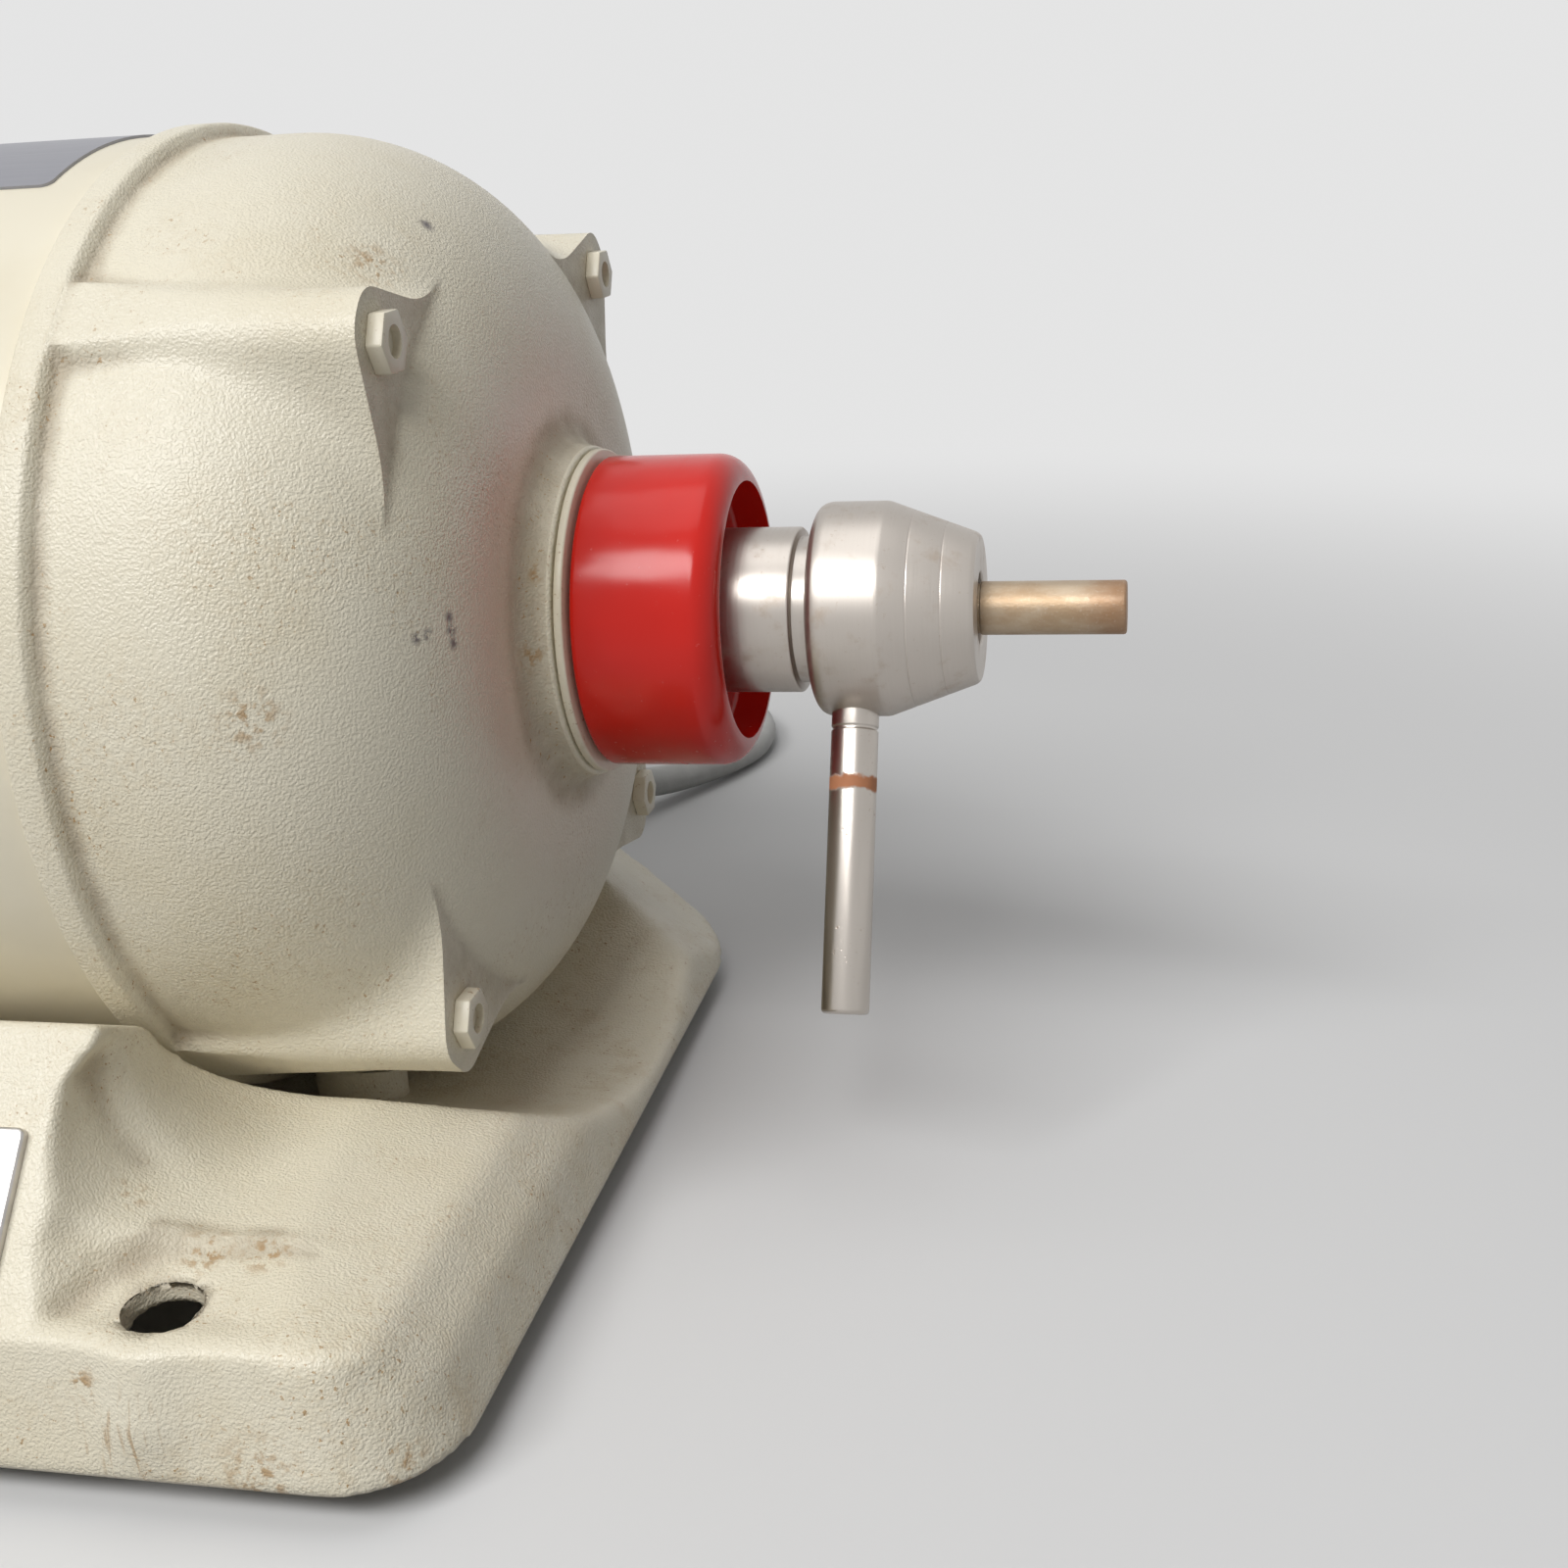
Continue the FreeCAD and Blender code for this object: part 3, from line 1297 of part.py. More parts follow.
turns, coil_tail = coil_path()
print("cord_coil least gap", round(least_gap(turns), 2))
node("cord_coil", tube(turns, cord, "cord_coil"))
innermost = d.coil_outer_radius - d.coil_pitch * (LAYER_HALF_TURNS / 2 + 0.25)
tie_inner = COIL_CENTRE[0] - innermost + d.cord_radius + d.bolt_gap
tie_outer = COIL_CENTRE[0] - d.coil_outer_radius - d.cord_radius - d.bolt_gap
tie_top = d.coil_lift + d.cord_radius * 2 + d.coil_pitch + d.bolt_gap
node("coil_tie", cut(
    block(tie_inner - tie_outer + d.tie_thickness * 2, d.tie_width, tie_top + d.tie_thickness,
          tie_outer - d.tie_thickness, COIL_CENTRE[1] - d.tie_width * 0.5, 0),
    block(tie_inner - tie_outer, d.tie_width, tie_top - d.tie_thickness,
          tie_outer, COIL_CENTRE[1] - d.tie_width * 0.5, d.tie_thickness)))


# Plug, drawn along +X from the end of the cord
def plug_point(along, across, up):
    turn = math.radians(-TAIL_TURN)
    return (coil_tail.x + along * math.cos(turn) - across * math.sin(turn),
            coil_tail.y + along * math.sin(turn) + across * math.cos(turn),
            coil_tail.z + up)


half_plug = d.plug_width * 0.5
body_start = d.plug_neck_length
grip = padded([(body_start, -half_plug), (body_start + d.plug_length, -half_plug),
               (body_start + d.plug_length, half_plug), (body_start, half_plug)],
              "XY_Plane", d.plug_width, coil_tail.x, coil_tail.y, coil_tail.z, (0, 0, 1), -TAIL_TURN)
pin_face = body_start + d.plug_length
round_edges(grip, d.plug_round, lambda edge: edge.CenterOfMass.x < pin_face.value - 1e-3)
neck_end = d.plug_neck_length + d.plug_round
neck = turned([(0, 0), (0, d.plug_neck_radius - 1), (d.plug_neck_length, d.plug_neck_radius),
               (neck_end, d.plug_neck_radius), (neck_end, 0)],
              coil_tail.x, coil_tail.y, coil_tail.z, (0, 0, 1), -TAIL_TURN)
node("plug_body", joined(neck, grip))


def blade(side):
    return block(d.blade_length, d.blade_thickness, d.blade_width,
                 *plug_point(pin_face, d.blade_spread * side - d.blade_thickness * 0.5, d.blade_width * -0.2),
                 (0, 0, 1), -TAIL_TURN)


earth_pin = turned([(0, 0), (0, d.earth_pin_radius),
                    (d.earth_pin_length, d.earth_pin_radius), (d.earth_pin_length, 0)],
                   *plug_point(pin_face, Size.of(0), -d.earth_pin_offset), (0, 0, 1), -TAIL_TURN)
node("plug_pins", grouped(mirrored_pair(blade) + [earth_pin]))


# Check every object, then write each piece
doc.recompute()
for thing in doc.Objects:
    if {"Invalid", "Error"} & set(thing.State):
        raise RuntimeError(f"{thing.Name} {thing.Label} failed: {thing.State}")
os.makedirs("parts", exist_ok=True)
for thing in nodes:
    shape = thing.Shape
    if shape.isNull() or not shape.isValid() or not shape.Solids:
        raise RuntimeError(f"{thing.Label} has no valid solid")
    shape.exportStep(f"parts/{thing.Label}.step")
print("written", len(nodes), "pieces")
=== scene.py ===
"""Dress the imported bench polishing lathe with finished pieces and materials, in metres."""
import math

import bmesh
import bpy
import numpy as np
from mathutils import Matrix, Vector


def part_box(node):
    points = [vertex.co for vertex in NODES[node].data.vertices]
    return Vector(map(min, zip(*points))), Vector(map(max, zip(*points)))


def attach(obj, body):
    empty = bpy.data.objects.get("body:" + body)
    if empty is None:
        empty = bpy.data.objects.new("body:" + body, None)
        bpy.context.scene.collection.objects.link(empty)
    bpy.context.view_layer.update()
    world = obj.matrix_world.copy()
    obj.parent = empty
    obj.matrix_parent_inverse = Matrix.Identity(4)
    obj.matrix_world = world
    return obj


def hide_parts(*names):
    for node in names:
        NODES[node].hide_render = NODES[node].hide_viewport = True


bl_info = {
    "name": "Bench polishing lathe",
    "version": (1, 0, 0),
    "blender": (4, 5, 0),
    "location": "3D View > Sidebar > Lathe",
    "description": "Builds the finished pieces of a bench polishing lathe over its packed frame",
    "category": "Object",
}

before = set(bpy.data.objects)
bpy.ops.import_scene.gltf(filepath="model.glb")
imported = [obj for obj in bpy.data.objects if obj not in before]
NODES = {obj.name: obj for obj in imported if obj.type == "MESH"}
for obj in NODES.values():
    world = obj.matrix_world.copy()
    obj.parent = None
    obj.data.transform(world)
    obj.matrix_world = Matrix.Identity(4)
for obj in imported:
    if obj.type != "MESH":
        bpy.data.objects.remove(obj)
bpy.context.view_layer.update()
MM = 0.001
SHAFT = Vector((0, 18.6, 96.2)) * MM
FULL_TURN = 2 * math.pi
NO_TURN = Matrix.Identity(4)
LEVER_LEAN = math.radians(28)
LEVER_REACH = 68.5


def colour_setting(name, description, red, green, blue):
    return bpy.props.FloatVectorProperty(name=name, description=description, subtype="COLOR",
                                         size=4, min=0, max=1, default=(red, green, blue, 1))


def number_setting(name, description, start, least, most, unit="NONE"):
    return bpy.props.FloatProperty(name=name, description=description, unit=unit,
                                   default=start, min=least, max=most)


def length_setting(name, description, *values):
    """A length, given here in millimetres."""
    return number_setting(name, description, *(value * MM for value in values), unit="LENGTH")


class LatheColours(bpy.types.PropertyGroup):
    """Colours of the finishes"""
    enamel: colour_setting("Enamel", "Cream enamel of the castings and shell", 0.80, 0.745, 0.60)
    enamel_aged: colour_setting("Aged enamel", "Yellowed patches of the enamel", 0.70, 0.62, 0.44)
    # This colour darkens hollows: partly dirtying, partly painted shade.
    grime_and_shade: colour_setting("Grime", "Dirt that gathers in corners", 0.20, 0.13, 0.065)
    rust: colour_setting("Rust", "Rust specks and stains", 0.36, 0.19, 0.05)
    collar_red: colour_setting("Collar red", "Dipped coat of the release collars", 0.72, 0.014, 0.006)
    steel: colour_setting("Steel", "Turned steel of the chuck", 0.54, 0.495, 0.45)
    foil: colour_setting("Foil", "Bare foil plate on the shell", 0.33, 0.33, 0.36)
    cord_sheath: colour_setting("Cord sheath", "Light grey sheath of the mains cord", 0.50, 0.50, 0.48)


class LatheShapes(bpy.types.PropertyGroup):
    """Sizes of the details"""
    pebble_size: length_setting("Pebble size", "Width of the bumps in the cast enamel", 0.45, 0.2, 10)
    pebble_depth: length_setting("Pebble depth", "Depth of the bumps in the cast enamel", 0.09, 0, 2)
    cast_grid: length_setting("Cast grid", "Grid that the base casting is smoothed on", 1.2, 0.5, 5)
    cast_softness: bpy.props.IntProperty(
        name="Cast softness", description="Rounds of smoothing on the edges of the base",
        default=4, min=0, max=60)
    rib_blend: length_setting("Rib blend", "How far the ribs flow into the dome of a bell", 6, 0, 30)
    thread_pitch: length_setting("Thread pitch", "Distance between the threads of the screw", 3.2, 1, 8)
    thread_depth: length_setting("Thread depth", "Height of the threads of the screw", 0.9, 0, 3)


class LatheStage(bpy.types.PropertyGroup):
    """Floor, lights and camera"""
    floor: colour_setting("Floor", "Colour of the plain floor", 0.72, 0.72, 0.72)
    floor_shade: colour_setting("Floor shade", "Colour that the floor scatters back", 0.25, 0.25, 0.25)
    lens: number_setting("Lens", "Focal length on a 36 mm sensor, in millimetres", 43.841, 10, 200)
    key_power: number_setting("Key light", "Power of the main soft light", 28, 0, 200, "POWER")
    top_power: number_setting("Top light", "Power of the overhead light", 7, 0, 200, "POWER")
    sky: number_setting("Sky", "Strength of the even light from all round", 0.2, 0, 4)
    backdrop: number_setting("Backdrop", "Paleness of the backdrop, where 1 is white", 0.78, 0, 1)


def colours():
    return bpy.context.scene.lathe_colours


def shapes():
    return bpy.context.scene.lathe_shapes


def math_node(operation):
    """A method that adds one Math node."""
    return lambda value, *others: value.maths(operation, value, *others)


class Value:
    """A number that changes over a surface. Sums on it add Math nodes."""

    def __init__(self, nodes, socket):
        self.nodes = nodes
        self.socket = socket

    def maths(self, operation, *operands):
        made = self.nodes.add("Math", dict(enumerate(operands)), operation=operation)
        return self.nodes.value(made)

    def __rsub__(self, other):
        return self.maths("SUBTRACT", other, self)

    __add__ = __radd__ = math_node("ADD")
    __mul__ = __rmul__ = math_node("MULTIPLY")
    __sub__ = math_node("SUBTRACT")
    __abs__ = math_node("ABSOLUTE")
    most = math_node("MAXIMUM")
    least = math_node("MINIMUM")
    sine = math_node("SINE")

    def step(self, low, high):
        """0 below low, 1 above high, with a soft rise between; high may be the lower one."""
        made = self.nodes.add("MapRange", {"Value": self, "From Min": low, "From Max": high},
                              interpolation_type="SMOOTHSTEP")
        return self.nodes.value(made)


class Nodes:
    """The nodes of a material or a world."""

    def __init__(self, tree):
        self.tree = tree

    def add(self, kind, inputs=None, **options):
        made = self.tree.nodes.new("ShaderNode" + kind)
        for key, option in options.items():
            setattr(made, key, option)
        for key, given in (inputs or {}).items():
            self.feed(made.inputs[key], given)
        return made

    def feed(self, socket, given):
        if isinstance(given, Value):
            given = given.socket
        if isinstance(given, bpy.types.NodeSocket):
            self.tree.links.new(given, socket)
        else:
            socket.default_value = given

    def value(self, node, output=0):
        return Value(self, node.outputs[output])

    def seen_directly(self):
        """1 for what the camera or a shiny surface looks at, and 0 for scattered light."""
        path = self.add("LightPath")
        seen = self.value(path, "Is Camera Ray")
        for kind in ("Is Glossy Ray", "Is Transmission Ray"):
            seen = seen.most(self.value(path, kind))
        return seen


class Finish(Nodes):
    """One procedural material and its nodes."""

    def __init__(self, name):
        self.material = bpy.data.materials.new(name)
        self.material.use_nodes = True
        super().__init__(self.material.node_tree)
        self.shader = self.tree.nodes["Principled BSDF"]
        self.here = self.add("TexCoord").outputs["Object"]

    def place(self):
        """The point on the surface, as three numbers in metres."""
        parts = self.add("SeparateXYZ", {0: self.here})
        return [self.value(parts, index) for index in range(3)]

    def stretched(self, scale):
        return self.add("Mapping", {"Vector": self.here, "Scale": scale}).outputs[0]

    def noise(self, size, detail=3, roughness=0.5, where=None):
        """Noise from 0 to 1, with features about as wide as a size in millimetres."""
        made = self.add("TexNoise", {"Vector": where or self.here, "Scale": 1 / (size * MM),
                                     "Detail": detail, "Roughness": roughness})
        return self.value(made)

    def painted(self, name):
        """A number that the piece's own mesh carries."""
        return self.value(self.add("Attribute", attribute_name=name), "Fac")

    def near(self, point, radius):
        """1 at a point of the object, falling to 0 at a radius."""
        away = self.add("VectorMath", {0: self.here, 1: point}, operation="DISTANCE")
        return self.value(away, "Value").step(radius, 0)

    def mix(self, amount, first, second):
        made = self.add("Mix", {0: amount, 6: first, 7: second}, data_type="RGBA")
        return made.outputs[2]

    def bump(self, height, depth):
        """A normal for a height from 0 to 1, with a depth in millimetres."""
        made = self.add("Bump", {"Height": height, "Strength": 1, "Distance": depth * MM})
        return made.outputs[0]

    def done(self, **sockets):
        for name, given in sockets.items():
            self.feed(self.shader.inputs[name.replace("_", " ").title().replace("Ior", "IOR")], given)
        return self.material


# Finishes
# Marks on the enamel that the photograph shows: place and reach in millimetres
SCUFFS = (((99.6, -34, 105), 1.5), ((99.6, -34, 107), 1.7), ((99.6, -34, 109), 1.4),
          ((97.6, -38.6, 107.6), 1.5), ((97, -40.8, 107.6), 1.4), ((90, -0.8, 163.3), 2))
RUST_SPOTS = (((102.8, -10, 96.6), 4.5), ((104.1, -6.9, 109.1), 2.5), ((87.7, -17.2, 158.7), 6),
              ((78.6, -59.2, 101), 7), ((105.5, -98, 8), 6), ((61, -101, 20), 4),
              ((70, -80, 27.5), 6), ((79, -79, 27.5), 6), ((58, -75, 35), 5),
              ((86, -102, 8), 9))
SCRAPE = ((67, -101.5, 12), 12)


def marks(coat, places):
    """1 at the marked places of the surface, fading to 0 at their reach."""
    spots = [coat.near(Vector(spot) * MM, reach * MM) for spot, reach in places]
    total = spots[0]
    for spot in spots[1:]:
        total = total.most(spot)
    return total


def cast_enamel(name, pebbled=True, stained=True):
    """Cream enamel on castings: pebbly, yellowed in patches, dirty and darkened with painted shade in
    hollows, and rusty in specks.
    """
    coat = Finish(name)
    patches = coat.noise(38, 4, 0.6)
    colour = coat.mix(patches.step(0.4, 0.75) * 0.5, colours().enamel, colours().enamel_aged)
    blotches = coat.noise(9, 5, 0.7)
    fine = coat.noise(1.3, 2)
    rough = 0.27 + blotches * 0.16
    if stained:
        z = coat.place()[2]
        # Hollows get a brown darkening: partly dirtying, partly painted shade.
        crease = coat.painted("soil_and_shade")
        dirt_and_shade = (crease * (0.35 + blotches * 1.3)).step(0.2, 0.95)
        colour = coat.mix(dirt_and_shade * 0.5, colour, colours().grime_and_shade)
        specks = coat.noise(0.8, 2, 0.6).step(0.64, 0.69)
        zones = coat.noise(22, 3, 0.6).step(0.45, 0.65)
        low = z.step(26 * MM, 6 * MM) * blotches.step(0.4, 0.6)
        rusty = specks * (zones * 0.8 + low + crease * 0.6).least(1)
        spots = marks(coat, RUST_SPOTS) * coat.noise(1.8, 3, 0.6).step(0.46, 0.62)
        streaks = coat.noise(1.0, 2, 0.5, coat.stretched((1, 1, 0.06))).step(0.55, 0.68)
        spots = spots.most(marks(coat, (SCRAPE,)) * streaks * 0.8)
        colour = coat.mix((rusty * 0.8).most(spots * 0.8), colour, colours().rust)
        wash = zones * fine.step(0.4, 0.7) * 0.14 + low * blotches.step(0.45, 0.7) * 0.3
        colour = coat.mix(wash, colour, (0.45, 0.30, 0.12, 1))
        scuffs = marks(coat, SCUFFS) * coat.noise(1.2, 3, 0.6).step(0.36, 0.46)
        colour = coat.mix(scuffs * 0.85, colour, (0.035, 0.02, 0.05, 1))
        rough = rough + dirt_and_shade * 0.25 + spots * 0.2
    if pebbled:
        pebbles = coat.noise(shapes().pebble_size / MM, 1, 0.4).step(0.28, 0.72)
        calm = 0.75 + coat.noise(42, 2).step(0.35, 0.62) * 0.25
        height = pebbles * calm + coat.noise(shapes().pebble_size * 4 / MM, 1) * 0.35 + fine * 0.08
        normal = coat.bump(height, shapes().pebble_depth / MM)
    else:
        normal = coat.bump(coat.noise(7, 1) + fine * 0.08, 0.12)
    return coat.done(base_color=colour, roughness=rough, normal=normal)


def dipped_red():
    """Glossy red dip with soft waviness, faint dust and hairline scratches."""
    coat = Finish("dipped_red")
    dust = coat.noise(0.9, 2).step(0.66, 0.8) * coat.noise(14, 3).step(0.4, 0.7)
    tone = coat.noise(20, 2)
    colour = coat.mix(tone * 0.5, colours().collar_red, (0.42, 0.012, 0.008, 1))
    colour = coat.mix(dust * 0.12, colour, (0.75, 0.6, 0.55, 1))
    wave = coat.noise(9, 1)
    hair = coat.noise(1.2, 2, 0.5, coat.stretched((1, 0.06, 0.06)))
    return coat.done(base_color=colour, roughness=0.2 + dust * 0.3 + hair.step(0.6, 0.75) * 0.06,
                     normal=coat.bump(wave + hair * 0.02, 0.25), specular_ior_level=0.35)


def turned_steel(name, stain=0.35, shine=0.3):
    """Lathe-turned steel: fine lines round the axis, cloudy oxide and brown stains."""
    metal = Finish(name)
    lines = metal.noise(0.35, 3, 0.7, metal.stretched((1, 0.02, 0.02)))
    clouds = metal.noise(6, 5, 0.65)
    specks = metal.noise(0.8, 2, 0.6).step(0.66, 0.76)
    stains = (clouds.step(0.52, 0.75) + specks * 0.7) * stain
    colour = metal.mix(lines * 0.2, colours().steel, (0.42, 0.385, 0.35, 1))
    colour = metal.mix(stains.least(1), colour, (0.30, 0.19, 0.10, 1))
    return metal.done(base_color=colour, metallic=1 - stains * 0.5,
                      roughness=shine + lines * 0.16 + stains * 0.3,
                      normal=metal.bump(lines, 0.012))


def lever_steel():
    """Bright bar with a ring of rust under the collar and pits along its length."""
    metal = Finish("lever_steel")
    _, y, z = metal.place()
    along = (SHAFT.y - y) * math.sin(LEVER_LEAN) + (SHAFT.z - z) * math.cos(LEVER_LEAN)
    ragged = metal.noise(2, 3)
    band = abs(along - 30.2 * MM + (ragged - 0.5) * (2 * MM)).step(1.5 * MM, 0.8 * MM)
    pits = metal.noise(0.9, 3, 0.6).step(0.62, 0.74) * metal.noise(12, 2).step(0.35, 0.6)
    streak = metal.noise(1.4, 3, 0.6, metal.stretched((1, 0.2, 0.12)))
    colour = metal.mix(streak * 0.4, colours().steel, (0.40, 0.37, 0.33, 1))
    colour = metal.mix((pits * 0.5).least(1), colour, (0.25, 0.15, 0.08, 1))
    colour = metal.mix(band * 0.9, colour, (0.44, 0.16, 0.055, 1))
    return metal.done(base_color=colour, metallic=1 - band * 0.8 - pits * 0.2,
                      roughness=0.24 + streak * 0.12 + band * 0.45 + pits * 0.2,
                      normal=metal.bump(ragged * band + streak * 0.1 - pits * 0.2, 0.15))


def stained_pin():
    """Steel pin gone grey-brown, rubbed bright in places and rusty near its end."""
    metal = Finish("stained_pin")
    x = metal.place()[0]
    mottle = metal.noise(4, 4, 0.6, metal.stretched((0.5, 1, 1)))
    grain = metal.noise(0.5, 3, 0.6)
    end = (x + mottle * (6 * MM)).step(190 * MM, 199 * MM)
    colour = metal.mix(mottle.step(0.35, 0.7) * 0.6, (0.50, 0.40, 0.29, 1), (0.36, 0.23, 0.12, 1))
    colour = metal.mix(end * 0.55, colour, (0.30, 0.13, 0.045, 1))
    colour = metal.mix(grain.step(0.55, 0.75) * 0.35, colour, (0.58, 0.50, 0.41, 1))
    return metal.done(base_color=colour, metallic=0.8 - end * 0.3, roughness=0.36 + mottle * 0.2,
                      normal=metal.bump(grain + mottle, 0.05))


def plain_metal(name, colour, rough):
    """Plated, drawn or cast metal with a cloudy tone and a fine grain."""
    metal = Finish(name)
    clouds = metal.noise(5, 4, 0.6)
    fine = metal.noise(0.6, 2)
    dark = tuple(part * 0.6 for part in colour[:3]) + (1,)
    shade = metal.mix(clouds.step(0.35, 0.8) * 0.5, colour, dark)
    return metal.done(base_color=shade, metallic=1.0, roughness=rough + clouds * 0.12,
                      normal=metal.bump(fine, 0.03))


def rating_foil():
    """Blue-grey printed foil left blank, brushed along the shaft, with scuffs."""
    foil = Finish("rating_foil")
    brushed = foil.noise(0.5, 3, 0.6, foil.stretched((0.03, 1, 1)))
    scuffs = foil.noise(4, 4, 0.7).step(0.62, 0.75)
    colour = foil.mix(brushed * 0.35, colours().foil, (0.25, 0.26, 0.30, 1))
    colour = foil.mix(scuffs * 0.35, colour, (0.45, 0.44, 0.41, 1))
    return foil.done(base_color=colour, metallic=0.55, roughness=0.34 + brushed * 0.14 + scuffs * 0.2,
                     normal=foil.bump(brushed, 0.02))


def moulded(name, colour, rough):
    """Moulded rubber or plastic with a fine skin and rubbed patches."""
    skin = Finish(name)
    worn = skin.noise(12, 4, 0.6)
    fine = skin.noise(0.5, 3)
    pale = tuple(min(1, part * 1.35 + 0.02) for part in colour[:3]) + (1,)
    shade = skin.mix(worn.step(0.45, 0.8) * 0.6, colour, pale)
    return skin.done(base_color=shade, roughness=rough + worn * 0.14, normal=skin.bump(fine, 0.06))


def winding_varnish():
    """Varnished wire: fine strands round the bore."""
    wire = Finish("winding_varnish")
    strands = wire.noise(0.9, 2, 0.5, wire.stretched((1, 0.15, 0.15)))
    colour = wire.mix(strands.step(0.3, 0.7), (0.30, 0.09, 0.025, 1), (0.55, 0.22, 0.07, 1))
    return wire.done(base_color=colour, roughness=0.25 + strands * 0.2, metallic=0.3,
                     normal=wire.bump(strands, 0.3))


def stacked_sheet():
    """Edges of stacked steel sheet along the shaft."""
    core = Finish("stacked_sheet")
    x = core.place()[0]
    sheets = (x * (FULL_TURN / (0.5 * MM))).sine()
    rust = core.noise(8, 4, 0.6).step(0.55, 0.8)
    colour = core.mix(rust * 0.4, (0.33, 0.33, 0.34, 1), (0.24, 0.14, 0.07, 1))
    return core.done(base_color=colour, metallic=0.9, roughness=0.42 + rust * 0.2,
                     normal=core.bump(sheets * 0.5, 0.05))


def cord_sheath():
    return moulded("cord_sheath", colours().cord_sheath, 0.42)


# What makes each finish, and what it is given
MAKERS = {
    "cast": (cast_enamel, "cast_enamel"),
    "smooth": (cast_enamel, "smooth_enamel", False, False),
    "painted": (cast_enamel, "painted_hardware", False),
    "red": (dipped_red,),
    "steel": (turned_steel, "turned_steel"),
    "sleeve_steel": (turned_steel, "sleeve_steel", 0.45, 0.26),
    "lever": (lever_steel,),
    "pin": (stained_pin,),
    "plated": (plain_metal, "plated_steel", (0.52, 0.49, 0.44, 1), 0.34),
    "chrome": (plain_metal, "switch_chrome", (0.56, 0.54, 0.52, 1), 0.24),
    "bearing": (plain_metal, "bearing_steel", (0.66, 0.66, 0.68, 1), 0.16),
    "cage": (plain_metal, "cage_brass", (0.64, 0.44, 0.18, 1), 0.3),
    "aluminium": (plain_metal, "cast_aluminium", (0.66, 0.66, 0.66, 1), 0.42),
    "can": (plain_metal, "capacitor_can", (0.60, 0.60, 0.61, 1), 0.3),
    "brass": (plain_metal, "plug_brass", (0.66, 0.50, 0.22, 1), 0.28),
    "foil": (rating_foil,),
    "core": (stacked_sheet,),
    "wire": (winding_varnish,),
    "rubber": (moulded, "foot_rubber", (0.028, 0.028, 0.028, 1), 0.6),
    "black": (moulded, "black_plastic", (0.035, 0.035, 0.036, 1), 0.45),
    "cord": (cord_sheath,),
}
FINISHES = {}


def finish(name):
    """Each finish is made once and shared."""
    if name not in FINISHES:
        maker, *given = MAKERS[name]
        FINISHES[name] = maker(*given)
    return FINISHES[name]


def dress(look, *nodes):
    """Give CAD nodes' own objects a finish."""
    for node in nodes:
        data = NODES[node].data
        data.materials.clear()
        data.materials.append(finish(look))


def add_object(name, data):
    thing = bpy.data.objects.new(name, data)
    bpy.context.scene.collection.objects.link(thing)
    return thing


def as_mesh(bm, name):
    mesh = bpy.data.meshes.new(name)
    bm.to_mesh(mesh)
    bm.free()
    return mesh


def smooth(mesh, sharp):
    """Smooth shading, but for edges sharper than an angle in degrees."""
    mesh.shade_smooth()
    mesh.set_sharp_from_angle(angle=math.radians(sharp))


def settle(name, data, body, slot, look, *nodes):
    """Put a piece on a body, where it stands for CAD nodes."""
    thing = add_object(name, data)
    data.materials.append(finish(look))
    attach(thing, body)
    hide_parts(*nodes)
    return thing


def piece(name, bm, body, slot, look, *nodes, sharp=32):
    """Turn a bmesh into a smooth piece."""
    bmesh.ops.recalc_face_normals(bm, faces=bm.faces)
    mesh = as_mesh(bm, name)
    smooth(mesh, sharp)
    settle(name, mesh, body, slot, look, *nodes)


def move(bm, matrix):
    bmesh.ops.transform(bm, matrix=matrix, verts=bm.verts)


def soften(bm, geom, size, segments, affect="EDGES"):
    """Round edges or corners off by a size in millimetres."""
    bmesh.ops.bevel(bm, geom=geom, offset=size * MM, offset_type="OFFSET", segments=segments,
                    profile=0.5, affect=affect, material=-1)


def turned(corners, side=1, steps=128, segments=6, longest=None, splits=(), at=SHAFT, aim=NO_TURN):
    """Spin a profile about the shaft. Corners are (along, radius[, rounding]) in millimetres."""
    bm = bmesh.new()
    points = [bm.verts.new((along * side * MM, 0, radius * MM)) for along, radius, *_ in corners]
    bm.faces.new(points)
    for point, (_, _, *rounding) in zip(points, corners):
        for size in rounding:
            soften(bm, [point], size, max(segments, int(size * 0.8)), "VERTICES")
    bmesh.ops.delete(bm, geom=bm.faces[:], context="FACES_ONLY")
    on_axis = [edge for edge in bm.edges if max(vert.co.z for vert in edge.verts) < 1e-7]
    bmesh.ops.delete(bm, geom=on_axis, context="EDGES")
    for along in splits:
        bmesh.ops.bisect_plane(bm, geom=bm.verts[:] + bm.edges[:],
                               plane_co=(along * side * MM, 0, 0), plane_no=(1, 0, 0))
    if longest:
        for edge in bm.edges[:]:
            cuts = int(edge.calc_length() / (longest * MM))
            if cuts:
                bmesh.ops.subdivide_edges(bm, edges=[edge], cuts=cuts)
    axis = {"cent": (0, 0, 0), "axis": (1, 0, 0)}
    bmesh.ops.spin(bm, geom=bm.verts[:] + bm.edges[:], angle=FULL_TURN / 4, steps=steps // 4, **axis)
    bmesh.ops.spin(bm, geom=bm.verts[:] + bm.edges[:] + bm.faces[:], angle=FULL_TURN * 0.75, steps=3,
                   use_duplicate=True, **axis)
    bmesh.ops.remove_doubles(bm, verts=bm.verts, dist=1e-6)
    move(bm, Matrix.Translation(at) @ aim)
    return bm


def blend_least(first, second, width):
    """The lesser of two arrays, with a soft passage of a width between them."""
    reach = np.maximum(width - np.abs(first - second), 0) / width
    return np.minimum(first, second) - reach * reach * width / 4


def passage(x, start, end, first=0, last=1):
    """A value that goes softly from first to last between two places; start may be the higher one."""
    share = np.clip((x - start) / (end - start), 0, 1)
    return first + (last - first) * share * share * (3 - 2 * share)


def mesh_points(mesh, normals=False):
    source, key = (mesh.vertex_normals, "vector") if normals else (mesh.vertices, "co")
    out = np.empty(len(source) * 3)
    source.foreach_get(key, out)
    return out.reshape(-1, 3)


